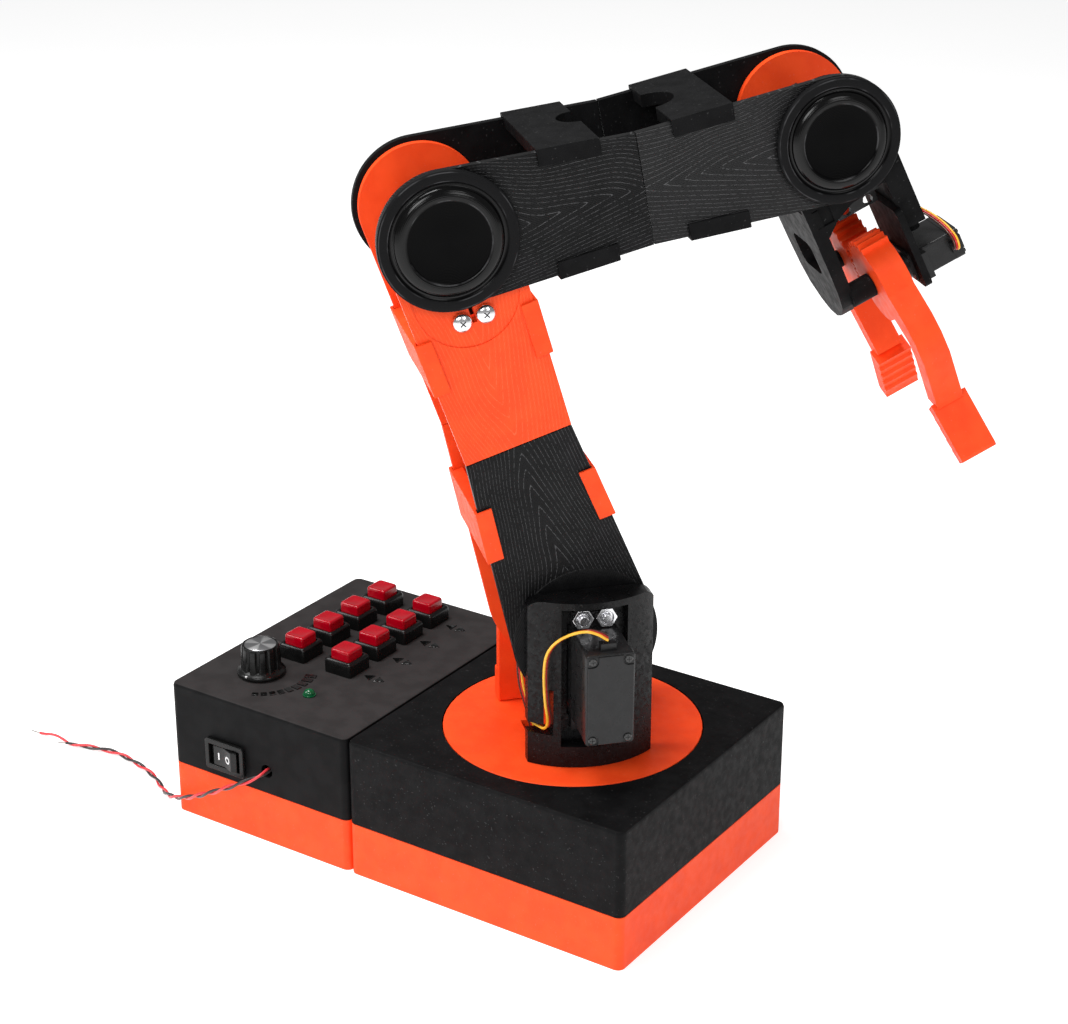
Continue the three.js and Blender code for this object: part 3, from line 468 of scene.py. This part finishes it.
def skin(bm, rings, index=0):
    """Joins rings of points, one after another, into a closed body with flat ends."""
    loops = [[bm.verts.new(point) for point in ring] for ring in rings]
    faces = []
    for low, high in zip(loops, loops[1:]):
        for k in range(len(low)):
            j = (k + 1) % len(low)
            faces.append(bm.faces.new((low[k], low[j], high[j], high[k])))
    faces.append(bm.faces.new(loops[0][::-1]))
    faces.append(bm.faces.new(loops[-1]))
    for face in faces:
        face.material_index = index


def circle(radius, height, sides, centre=(0, 0)):
    middle = Vector((*centre, height))
    angles = [2 * math.pi * k / sides for k in range(sides)]
    return [middle + Vector((radius * math.cos(a), radius * math.sin(a), 0)) for a in angles]


def turned(bm, profile, sides, centre=(0, 0), index=0):
    """A turned body about Z from (radius, height) pairs that start and end near the axis."""
    skin(bm, [circle(radius, height, sides, centre) for radius, height in profile], index)


def rounded_rect(width, depth, corner, steps=5):
    """The outline of a rectangle with round corners, about the origin."""
    points = []
    for quarter, (sx, sy) in enumerate(((1, 1), (-1, 1), (-1, -1), (1, -1))):
        for k in range(steps + 1):
            a = math.pi / 2 * (quarter + k / steps)
            x = sx * (width / 2 - corner) + corner * math.cos(a)
            y = sy * (depth / 2 - corner) + corner * math.sin(a)
            points.append((x, y))
    return points


def stacked(bm, layers, centre=(0, 0), index=0):
    """A body from outlines at heights: layers of (outline points, height)."""
    cx, cy = centre
    skin(bm, [[Vector((cx + x, cy + y, z)) for x, y in outline] for outline, z in layers], index)


def box_into(bm, low, high, index=0):
    (x0, y0, z0), (x1, y1, z1) = low, high
    outline = [(x0, y0), (x1, y0), (x1, y1), (x0, y1)]
    stacked(bm, [(outline, z0), (outline, z1)], index=index)


def curve_through(points, per_span=6):
    """A smooth line through the points, as vectors."""
    spots = [Vector(point) for point in points]
    spots = [2 * spots[0] - spots[1], *spots, 2 * spots[-1] - spots[-2]]
    line = []
    for before, start, end, after in zip(spots, spots[1:], spots[2:], spots[3:]):
        for i in range(per_span):
            t = i / per_span
            bend = 2 * before - 5 * start + 4 * end - after
            twist = 3 * start - before - 3 * end + after
            line.append(start + (end - before) * t / 2 + bend * t * t / 2 + twist * t**3 / 2)
    line.append(spots[-2])
    return line


def heading(line, i):
    return (line[min(i + 1, len(line) - 1)] - line[max(i - 1, 0)]).normalized()


def tube_into(bm, line, radius, index=0, sides=10):
    """A closed tube along a line."""
    rings = []
    side = (line[1] - line[0]).orthogonal().normalized()
    for i, point in enumerate(line):
        ahead = heading(line, i)
        side = (side - ahead * side.dot(ahead)).normalized()
        up = ahead.cross(side)
        angles = [2 * math.pi * k / sides for k in range(sides)]
        rings.append([point + radius * (side * math.cos(a) + up * math.sin(a)) for a in angles])
    skin(bm, rings, index)


# ---- the power lead: a red and a black wire twisted together, lying on the surface ----
LEAD_ROUTE = [
    (-116.7, -66.5, 36.2), (-116.9, -71.5, 36.0), (-119.0, -75.2, 34.8), (-124.0, -77.2, 32.0),
    (-131.0, -77.8, 28.0), (-139.0, -77.6, 23.4), (-147.5, -76.8, 18.6), (-156.0, -75.4, 14.0),
    (-164.5, -73.2, 9.8), (-172.5, -70.2, 6.2), (-180.2, -66.2, 3.4), (-187.6, -61.4, 1.7),
    (-195.5, -56.6, 1.5), (-204.5, -52.6, 1.5), (-214.0, -50.0, 1.5), (-229.0, -47.6, 1.5),
    (-240.8, -49.6, 1.5), (-251.6, -52.2, 1.5), (-261.2, -52.4, 1.5), (-270.4, -51.8, 1.5),
    (-279.8, -53.6, 1.5),
]
WIRE = {
    "radius": 0.62,
    "offset": 0.68,  # from the pair's middle line to the wire's own
    "turn": 21.0,  # length of one full twist
    "parting": 16,  # the last stretch, on which the wire leaves the other one
    "droop": 0.5,
    "bare": 0.33,  # radius of the tinned strands
    "bare_length": 5.0,
}
# Each wire's angle at the start, how much shorter than the pair it is, and how far it parts sideways.
PAIR = [(0.4, 0, 0.3), (0.4 + math.pi, 19, -2.8)]


def lengths_along(line):
    total = [0.0]
    for a, b in zip(line, line[1:]):
        total.append(total[-1] + (b - a).length)
    return total


def wire_into(bm, line, phase, stop, part_way, index):
    """One wire of the pair: it winds round the line, then leaves it sideways near its end."""
    run = lengths_along(line)
    spots = []
    for i, point in enumerate(line):
        if run[i] > stop:
            break
        ahead = heading(line, i)
        side = ahead.cross(UP).normalized()
        up = side.cross(ahead)
        angle = phase + 2 * math.pi * run[i] / WIRE["turn"]
        leave = max(0.0, run[i] - (stop - WIRE["parting"])) / WIRE["parting"]
        settle = 1 - leave**2
        around = side * math.cos(angle) + up * math.sin(angle)
        spot = point + around * WIRE["offset"] * settle
        spots.append(spot + side * part_way * leave**2 - up * WIRE["droop"] * leave)
    cut = next(i for i, at in enumerate(run) if at > stop - WIRE["bare_length"])
    tube_into(bm, spots[: cut + 1], WIRE["radius"], index)
    tube_into(bm, spots[cut:], WIRE["bare"], 2, 8)


def make_power_lead():
    line = curve_through(LEAD_ROUTE, 12)
    whole = lengths_along(line)[-1]
    bm = bmesh.new()
    for index, (phase, shorter, part_way) in enumerate(PAIR):
        wire_into(bm, line, phase, whole - shorter, part_way, index)
    red = plain("wire_red", ((0.62, 0.025, 0.035), (0.7, 0.05, 0.06)), 0.32, depth=0.01)
    black = plain("wire_black", ((0.02, 0.02, 0.02), (0.035, 0.03, 0.03)), 0.32, depth=0.01)
    tinned = plain("wire_tinned", ((0.6, 0.58, 0.55), (0.5, 0.46, 0.42)), 0.35, metallic=1.0)
    wires = (red, black, tinned)
    piece = finish_piece("power_lead_wires", bm, BASE, wires, "base", "power_wire", ("power_lead",))


make_power_lead()


# ---- hub covers: a flat rim, a groove, a rounded ring and a flat middle ----
# Pairs of a share of the cover's radius and a height in millimetres.
HUB_MIDDLE = [(0.02, 3.55), (0.3, 3.55), (0.575, 3.55), (0.585, 3.6)]
HUB_RING = [(0.6, 3.95), (0.62, 4.12), (0.65, 4.18), (0.685, 4.05), (0.715, 3.75), (0.745, 3.2)]
HUB_GROOVE = [(0.768, 2.5), (0.782, 1.95), (0.8, 1.8), (0.82, 1.9), (0.84, 2.35), (0.855, 2.6)]
HUB_RIM = [(0.87, 2.66), (0.965, 2.66), (0.985, 2.5), (1.0, 2.1), (1.0, 0.0), (0.02, 0.0)]
HUB_FORM = HUB_MIDDLE + HUB_RING + HUB_GROOVE + HUB_RIM
COVER_FACE = 29.5  # distance of the covers' backs from the arm's plane


def hub_print(name, radius, x):
    """Black print, darker in the middle than on the rim, with pale lines of painted highlight round the
    cover's edges.
    """
    graph = Graph(name)
    u = graph.math("SUBTRACT", graph.along(FOREARM, 0), x)
    z = graph.along(FOREARM, 2)
    out = graph.hypot(u, z)
    # Pale lines at three radii, broken into patches: painted highlights for the lamps' reflections on the
    # ring and rim.
    highlight_lines = 0.0
    for share, width in ((0.855, 0.3), (0.6, 0.4), (0.975, 0.3)):
        off = graph.math("ABSOLUTE", graph.math("SUBTRACT", out, share * radius))
        highlight_lines = graph.math("MAXIMUM", highlight_lines, graph.ramp(off, 0.1, width, 1.0, 0.0))
    highlight_patches = graph.ramp(graph.noise(9, 2.0), 0.46, 0.66, 0.0, 1.0)
    rim = graph.ramp(out, 0.83 * radius, 0.86 * radius)
    tone = graph.mix(rim, (0.0015, 0.0015, 0.0016), (0.0085, 0.0085, 0.009))
    color = graph.mix(graph.math("MULTIPLY", highlight_lines, highlight_patches), tone, (0.05, 0.05, 0.052))
    rings = graph.math("SINE", graph.math("MULTIPLY", out, 2 * math.pi / 0.6))
    grit = graph.math("MULTIPLY", graph.noise(0.7, 2.0), graph.ramp(rim, 0.0, 1.0, 0.25, 2.2))
    graph.bump(graph.math("ADD", graph.math("MULTIPLY", rings, 0.3), grit), 0.04)
    off_ring = graph.math("ABSOLUTE", graph.math("SUBTRACT", out, 0.71 * radius))
    shine = graph.ramp(off_ring, 0.08 * radius, 0.13 * radius, 0.26, 0.05)
    return graph.surface(color, graph.ramp(rim, 0.0, 1.0, 0.16, 0.42), specular=shine)


def make_hub_cover(name, node, radius, x):
    bm = bmesh.new()
    turned(bm, [(share * radius, height) for share, height in HUB_FORM], 112)
    place = FOREARM @ Matrix.Translation((x, -COVER_FACE, 0)) @ Matrix.Rotation(math.pi / 2, 4, "X")
    finish_piece(name, bm, place, (hub_print(name, radius, x),), "forearm", "black_print", (node,))


make_hub_cover("elbow_hub_cover", "elbow_cover", 28, 0)
make_hub_cover("wrist_hub_cover", "wrist_cover", 25.3, FOREARM_LENGTH)


# ---- push buttons ----
DECK = 65.2  # height of the panel's face


def node_centre(name):
    low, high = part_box(name)
    return (low + high) / 2 / MM


def square(size, corner):
    return rounded_rect(size, size, corner)


def make_button(i):
    spot = node_centre(f"button_cap_{i}")[:2]
    body = bmesh.new()
    outside = [(15, 0.3, 1.3), (15, 5.4, 1.3), (14.5, 6.4, 1.4), (13.5, 6.95, 1.4), (12, 7, 1.2)]
    inside = [(11.5, 6.9, 1.0), (11.3, 6.5, 1.0), (11.3, 2.0, 1.0)]
    stacked(body, [(square(size, r), DECK + z) for size, z, r in outside + inside], spot)
    housing = f"button_housing_{i}"
    finish_piece(housing, body, BASE, (SWITCH_BLACK,), "base", "black_switch", (f"button_body_{i}",))
    cap = bmesh.new()
    form = [(10.6, 4.2, 1.2), (10.6, 10.0, 1.2), (10.4, 10.7, 1.2), (9.9, 11.2, 1.3), (9.1, 11.4, 1.4)]
    dish = [(8.0, 11.34, 1.4), (6.0, 11.12, 1.4), (3.5, 10.98, 1.2), (1.0, 10.94, 0.4)]
    stacked(cap, [(square(size, r), DECK + z) for size, z, r in form + dish], spot)
    key = f"button_key_{i}"
    finish_piece(key, cap, BASE, (RED_CAP,), f"button_{i}", "red_cap", (f"button_cap_{i}",))


for number in range(1, 9):
    make_button(number)


# ---- speed knob: a skirt, a fluted grip and a spun metal insert ----
FLUTES = 12


def knob_ring(radius, height, flute, sides=192):
    """A ring of the knob, with hollows of the given depth round it."""
    ring = []
    for k in range(sides):
        a = 2 * math.pi * k / sides
        hollow = max(0.0, math.cos(FLUTES * a)) ** 0.6 * flute
        ring.append(Vector(((radius - hollow) * math.cos(a), (radius - hollow) * math.sin(a), height)))
    return ring


def make_knob():
    x, y, _ = node_centre("speed_knob")
    place = BASE @ Matrix.Translation((x, y, DECK))
    bm = bmesh.new()
    skirt = [(10.6, 0.6, 0), (11, 1.0, 0), (11, 1.8, 0), (10.5, 2.5, 0), (9.6, 2.9, 0)]
    grip = [(9.3, 3.3, 0), (9.2, 3.9, 0.75), (8.9, 9.0, 0.75), (8.7, 13.6, 0.75)]
    top = [(8.5, 14.4, 0.5), (8.1, 14.8, 0.1), (7.6, 14.9, 0), (7.35, 14.75, 0), (7.3, 14.4, 0)]
    skin(bm, [knob_ring(*row) for row in skirt + grip + top])
    finish_piece("knob_grip", bm, place, (SWITCH_BLACK,), "knob", "black_switch", ("speed_knob",))
    insert = bmesh.new()
    turned(insert, [(0.1, 14.0), (7.2, 14.0), (7.2, 14.7), (6.9, 14.86), (0.1, 14.86)], 96)
    finish_piece("knob_insert", insert, place, (spun_metal(place),), "knob", "steel")
    # A small white bar standing on the skirt's front: a painted reflection of the light that the skirt
    # gives back there.
    mark = bmesh.new()
    box_into(mark, (-0.45, -10.9, 1.2), (0.45, -9.0, 2.62))
    finish_piece("knob_skirt_glint", mark, place, (WHITE_MARK_AND_GLINT,), "knob", "steel")


SPIN_PITCH = 0.35  # millimetres from one turned ring of the metal to the next


def spun_metal(place):
    """Aluminium with fine rings, its colour painted lighter in four sectors round the middle: a painted
    highlight for the four-way sheen of spun metal.
    """
    graph = Graph("spun_metal")
    x, y = graph.along(place, 0), graph.along(place, 1)
    turn = graph.math("MULTIPLY", graph.math("ARCTAN2", y, x), 4)
    painted_sheen = graph.ramp(graph.math("SINE", graph.math("ADD", turn, 0.9)), -0.4, 0.9)
    rings = graph.math("SINE", graph.math("MULTIPLY", graph.hypot(x, y), 2 * math.pi / SPIN_PITCH))
    graph.bump(rings, 0.006)
    return graph.surface(graph.mix(painted_sheen, (0.4, 0.4, 0.41), (1.0, 1.0, 1.0)), 0.3, metallic=1.0)


# White for the rocker's printed marks, and for the painted reflection on the knob's skirt.
WHITE_MARK_AND_GLINT = plain("white_mark_and_glint", ((0.8, 0.8, 0.8), (0.7, 0.7, 0.7)), 0.5)
make_knob()


# ---- status lamp ----
def make_lamp():
    x, y, _ = node_centre("status_led")
    bm = bmesh.new()
    dome = [(2.6 * math.cos(a), 0.7 + 2.5 * math.sin(a)) for a in (math.radians(10 * k) for k in range(9))]
    turned(bm, [(0.1, -5), (2.6, -5), (2.6, 0.2), (2.95, 0.3), (2.95, 0.6), *dome, (0.02, 3.2)], 48)
    place = BASE @ Matrix.Translation((x, y, DECK))
    finish_piece("lamp", bm, place, (LED_GREEN,), "base", "led_green", ("status_led",))


make_lamp()


# ---- raised marks on the panel: a growing scale by the knob, and a pair of arrows for each row ----
SCALE = {"radius": 20.4, "from": -58.0, "to": 24.0, "bars": 9, "half": 1.35}
ARROWS = {"x": -96.6, "rows": (-15.5, 5.7, 26.8, 47.6), "half": 5.6}


def turned_by(outline, angle):
    cos, sin = math.cos(angle), math.sin(angle)
    return [(u * cos - v * sin, u * sin + v * cos) for u, v in outline]


def raised_mark(bm, outline, top, centre):
    """A mark that stands half a millimetre proud of the panel, with worn top edges."""
    stacked(bm, [(outline, DECK - 0.2), (outline, DECK + 0.3), (top, DECK + 0.5)], centre)


def make_panel_marks():
    bm = bmesh.new()
    x, y, _ = node_centre("speed_knob")
    for k in range(SCALE["bars"]):
        share = k / (SCALE["bars"] - 1)
        angle = math.radians(SCALE["from"] + share * (SCALE["to"] - SCALE["from"]))
        inside = SCALE["radius"]
        outside = inside + 2.2 + 3.0 * share
        half = SCALE["half"]
        bar = [(inside, -half), (outside, -half), (outside, half), (inside, half)]
        outline = turned_by(bar, angle)
        raised_mark(bm, outline, [(u * 0.995, v * 0.995) for u, v in outline], (x, y))
    for row in ARROWS["rows"]:
        for way in (-1, 1):
            tip = [(way * ARROWS["half"], 0), (way * 1.2, way * 2.6), (way * 1.2, -way * 2.6)]
            inner = [(way * (ARROWS["half"] - 0.6), 0), (way * 1.45, way * 2.15), (way * 1.45, -way * 2.15)]
            raised_mark(bm, tip, inner, (ARROWS["x"], row))
    finish_piece("panel_marks", bm, BASE, (MARK_BLACK,), "base", "black_print")


MARK_TONES = ((0.002, 0.002, 0.002), (0.003, 0.003, 0.003))
MARK_BLACK = printed("mark_black", MARK_TONES, 0.16, BASE, 2, 0.6, 0.12)
make_panel_marks()


# ---- rocker switch marks ----
ROCKER_SLOPE = math.atan2(1.0, 5.5)
ROCKER_TILT = math.radians(-9)
ROCKER_MARK = {"bottom": -0.1, "top": 0.07, "from_pivot": 2.9, "bar": (0.38, 1.7), "ring": (1.05, 1.75)}


def hoop_into(bm, inside, outside, low, high, sides=40):
    """A flat ring, open in its middle."""
    section = [(inside, low), (outside, low), (outside, high), (inside, high)]
    loops = [[bm.verts.new(point) for point in circle(radius, z, sides)] for radius, z in section]
    for here, following in zip(loops, loops[1:] + loops[:1]):
        for k in range(sides):
            j = (k + 1) % sides
            bm.faces.new((here[k], here[j], following[j], following[k]))


def rocker_mark_place(side):
    """The frame of a mark on one of the rocker's two slopes, with Z out of the face."""
    x = side * ROCKER_MARK["from_pivot"]
    y = -0.6 - abs(x) / 5.5
    rocker = Matrix.Translation(joint_at("rocker_tilt")) @ Matrix.Scale(MM, 4)
    slope = Matrix.Translation((x, y, 0)) @ Matrix.Rotation(-side * ROCKER_SLOPE, 4, "Z")
    facing = Matrix.Rotation(math.pi / 2, 4, "X")
    return rocker @ Matrix.Rotation(ROCKER_TILT, 4, "Z") @ slope @ facing


def make_rocker_marks():
    low, high = ROCKER_MARK["bottom"], ROCKER_MARK["top"]
    bar = bmesh.new()
    half_x, half_y = ROCKER_MARK["bar"]
    box_into(bar, (-half_x, -half_y, low), (half_x, half_y, high))
    ring = bmesh.new()
    hoop_into(ring, *ROCKER_MARK["ring"], low, high)
    for name, side, bm in (("on", -1, bar), ("off", 1, ring)):
        place = rocker_mark_place(side)
        finish_piece(f"rocker_mark_{name}", bm, place, (WHITE_MARK_AND_GLINT,), "rocker", "black_switch")


make_rocker_marks()


# ---- servos: a back lid with four screws ----
def basis(x, z, origin):
    """A frame with the given X and Z directions and origin, all in a parent's millimetres."""
    x, z = Vector(x), Vector(z)
    return Matrix.Translation(origin) @ Matrix((x, z.cross(x), z)).transposed().to_4x4()


STANDARD = {
    "long": 40.5,
    "wide": 20,
    "depth": 37.5,
    "shaft_end": 10,  # from the shaft to the case's near end
    "cap": 6.5,  # height of the case's back part
    "screw": 1.75,  # radius of a head
    "inset": 2.5,  # from the edges to a screw's middle
}
MICRO = {
    "long": 22.8,
    "wide": 12.2,
    "depth": 22.7,
    "shaft_end": 5.9,
    "cap": 4.0,
    "screw": 0.95,
    "inset": 1.5,
}
LID_FORM = [(0.4, 0.0), (0.4, 0.6), (0.6, 0.8)]  # pairs of a margin and a height over the case's back


def scalloped(size, margin):
    """The lid's outline, with a round bite round each corner screw."""
    half_x, half_y = size["long"] / 2 - margin, size["wide"] / 2 - margin
    x, y = size["long"] / 2 - size["inset"], size["wide"] / 2 - size["inset"]
    bite = size["screw"] + 0.4 + margin / 2
    angles = [math.radians(-90 - 15 * k) for k in range(7)]
    arc = [(x + bite * math.cos(a), y + bite * math.sin(a)) for a in angles]
    corner = [(half_x, y - bite), *arc, (x - bite, half_y)]
    outline = []
    for sx, sy in ((1, 1), (-1, 1), (-1, -1), (1, -1)):
        quarter = [(sx * u, sy * v) for u, v in corner]
        outline += quarter if sx * sy > 0 else quarter[::-1]
    return outline


def make_servo_lid(name, size, place, body):
    """The back cap of a servo's case, a step proud of it, with its lid and screws."""
    bm = bmesh.new()
    back = -size["depth"]
    middle = size["shaft_end"] - size["long"] / 2
    long, wide = size["long"] + 0.4, size["wide"] + 0.4
    rows = [(0.0, back + size["cap"]), (0.0, back + 0.4), (0.25, back + 0.05), (0.8, back - 0.15)]
    stacked(bm, [(rounded_rect(long - 2 * cut, wide - 2 * cut, 1.3), z) for cut, z in rows], (middle, 0))
    lid = [(scalloped(size, margin), back - height) for margin, height in LID_FORM]
    stacked(bm, lid, (middle, 0))
    x, y = size["long"] / 2 - size["inset"], size["wide"] / 2 - size["inset"]
    for sx, sy in ((-1, -1), (-1, 1), (1, -1), (1, 1)):
        screw_into(bm, size["screw"], back - 0.1, (middle + sx * x, sy * y))
    finish_piece(f"{name}_lid", bm, place, (SERVO_CASE, SCREW_BLACK, CROSS_SHADE_AND_GLINT), body, "servo_plastic")


def screw_into(bm, radius, base, spot, index=1):
    """A small pan-head screw facing -Z; its cross is a thin bar in a lighter grey, a painted glint standing
    for the recessed cross.
    """
    top = [(0.1, base - 0.8), (radius * 0.85, base - 0.65)]
    rim = [(radius, base - 0.35), (radius, base), (0.1, base)]
    turned(bm, top + rim, 24, spot, index)
    for long, wide in ((0.62, 0.13), (0.13, 0.62)):
        low = (spot[0] - long * radius, spot[1] - wide * radius, base - 0.84)
        high = (spot[0] + long * radius, spot[1] + wide * radius, base - 0.6)
        box_into(bm, low, high, 2)


SCREW_BLACK = plain("screw_black", ((0.012, 0.012, 0.012), (0.018, 0.018, 0.018)), 0.2, specular=0.6)
# One grey for the screws' crosses: darker than the steel heads, as painted shade in their recessed crosses,
# and lighter than the black heads, as a painted glint.
CROSS_SHADE_AND_GLINT = plain("cross_shade_and_glint", ((0.03, 0.03, 0.03), (0.04, 0.04, 0.04)), 0.5, specular=0.2)
SERVO_FRONT = 21.5  # distance of the elbow and wrist servos' case fronts from the arm's plane
BRACKET_FACE = 26
SHOULDER_SHAFT = ((WAIST.inverted() @ SHOULDER).x, -BRACKET_FACE, SHOULDER.z / MM)
ELBOW_SHAFT = (LINK_LENGTH, -SERVO_FRONT, 0)
WRIST_SHAFT = (0, -SERVO_FRONT, 0)
GRIPPER_SHAFT = (67, -18.5, 8.2)
SERVO_PLACES = {
    "shoulder_servo": (STANDARD, WAIST @ basis((0, 0, 1), (0, 1, 0), SHOULDER_SHAFT), "turntable"),
    "elbow_servo": (STANDARD, LINK @ basis((1, 0, 0), (0, -1, 0), ELBOW_SHAFT), "lower_link"),
    "wrist_servo": (STANDARD, GRIPPER @ basis((-1, 0, 0), (0, -1, 0), WRIST_SHAFT), "gripper"),
    "gripper_servo": (MICRO, GRIPPER @ basis((0, -1, 0), (0, 0, -1), GRIPPER_SHAFT), "gripper"),
}
for servo, row in SERVO_PLACES.items():
    make_servo_lid(servo, *row)


# ---- servo leads: flat ribbons of three thin wires ----
SHOULDER_LEAD = [
    (-1.0, -58.4, 133.5), (-4.4, -58.4, 135.8), (-8.8, -57.4, 137.0), (-13.6, -54.4, 135.2),
    (-17.8, -50.2, 131.2), (-20.6, -46.2, 126.2), (-22.2, -43.4, 120.4), (-22.6, -41.8, 113.0),
    (-22.3, -40.8, 105.0), (-21.6, -40.2, 97.0), (-20.6, -39.4, 91.0), (-20.0, -37.0, 86.0),
    (-20.6, -33.6, 82.6), (-22.6, -29.4, 82.2), (-24.2, -24.8, 82.2),
]
ARM_LEAD = [
    (-19.0, 14.0, 108.0), (-20.4, 12.5, 98.0), (-21.4, 10.0, 90.0), (-21.2, 7.0, 82.0), (-19.6, 4.0, 74.0),
    (-18.0, 2.2, 66.0), (-17.4, 1.6, 60.5),
]
GRIPPER_LEAD = [
    (67, -28.2, 27), (65.6, -29.6, 27.4), (62.2, -27.4, 28.2), (58.2, -21.4, 27.8), (54, -14.6, 25.8),
    (51, -9, 23.4), (46.5, -5.6, 22.6), (40, -5, 22.6), (33, -5.6, 22.6), (26, -6.4, 22.6),
]
WIRE_TONES = {"signal": (0.95, 0.5, 0.035), "power": (0.55, 0.02, 0.02), "ground": (0.09, 0.03, 0.02)}


def lead_wire(key):
    tone = WIRE_TONES[key]
    return plain(f"lead_{key}", (tone, tuple(0.85 * v for v in tone)), 0.3, depth=0.006)


LEAD_WIRES = [lead_wire(key) for key in WIRE_TONES]


def make_ribbon(name, node, route, place, body, across, radius=0.55):
    """Three wires side by side along a route, spread in the direction given."""
    line = curve_through(route)
    bm = bmesh.new()
    for k in range(3):
        shift = (k - 1) * radius * 2.02
        spots = []
        for i, point in enumerate(line):
            ahead = heading(line, i)
            side = Vector(across) - ahead * ahead.dot(Vector(across))
            spots.append(point - side.normalized() * shift)
        tube_into(bm, spots, radius, k)
    finish_piece(name, bm, place, LEAD_WIRES, body, "servo_lead", (node,))


make_ribbon("shoulder_ribbon", "shoulder_lead", SHOULDER_LEAD, WAIST, "turntable", (-0.8, -0.8, 0.2), 0.6)
make_ribbon("arm_ribbon", "arm_lead", ARM_LEAD, WAIST, "turntable", (0.6, -1, 0))
make_ribbon("gripper_ribbon", "gripper_lead", GRIPPER_LEAD, GRIPPER, "gripper", (0.2, -0.4, 1), 0.42)


# ---- the elbow servo's two pan-head screws ----
ELBOW_SCREW = {"from_elbow": 35, "spread": 5, "face": -25.1, "turn": 0.5, "slot": (1.5, 0.24)}


def pan_head():
    bm = bmesh.new()
    angles = [math.radians(11 * k) for k in range(8)]
    dome = [(4.0 * math.cos(a), 0.5 + 2.1 * math.sin(a)) for a in angles]
    turned(bm, [(0.1, 0), (3.9, 0), *dome, (0.1, 2.6)], 48)
    # The cross: thin bars in dark grey standing on the steel dome, painted shade for its recessed cross.
    long, wide = ELBOW_SCREW["slot"]
    for x, y in ((long, wide), (wide, long)):
        box_into(bm, (-x, -y, 2.2), (x, y, 2.62), 1)
    return bm


def make_pan_screws():
    facing = Matrix.Rotation(math.pi / 2, 4, "X") @ Matrix.Rotation(ELBOW_SCREW["turn"], 4, "Z")
    for side, z in (("left", ELBOW_SCREW["spread"]), ("right", -ELBOW_SCREW["spread"])):
        spot = (LINK_LENGTH - ELBOW_SCREW["from_elbow"], ELBOW_SCREW["face"], z)
        place = LINK @ Matrix.Translation(spot) @ facing
        head = (f"pan_screw_{side}", pan_head(), place, (STEEL, CROSS_SHADE_AND_GLINT))
        finish_piece(*head, "lower_link", "steel", (f"elbow_screw_{side}",))


make_pan_screws()


# ---- floor ----
FLOOR_HALF = 12  # metres
FLOOR_GLOW = 0.62  # the floor's own light, which keeps it close to white


def make_floor():
    bm = bmesh.new()
    bmesh.ops.create_grid(bm, x_segments=1, y_segments=1, size=FLOOR_HALF)
    floor = bpy.data.objects.new("floor", mesh_from(bm, "floor", Matrix.Identity(4)))
    graph = Graph("floor")
    tone = graph.ramp(graph.noise(400, 1.0), 0.3, 0.7)
    color = graph.mix(tone, (0.78, 0.78, 0.78), (0.8, 0.8, 0.8))
    floor.data.materials.append(graph.surface(color, 0.7, specular=0.1))
    graph.shader.inputs["Emission Color"].default_value = (1, 1, 1, 1)
    graph.shader.inputs["Emission Strength"].default_value = FLOOR_GLOW
    bpy.context.scene.collection.objects.link(floor)


make_floor()
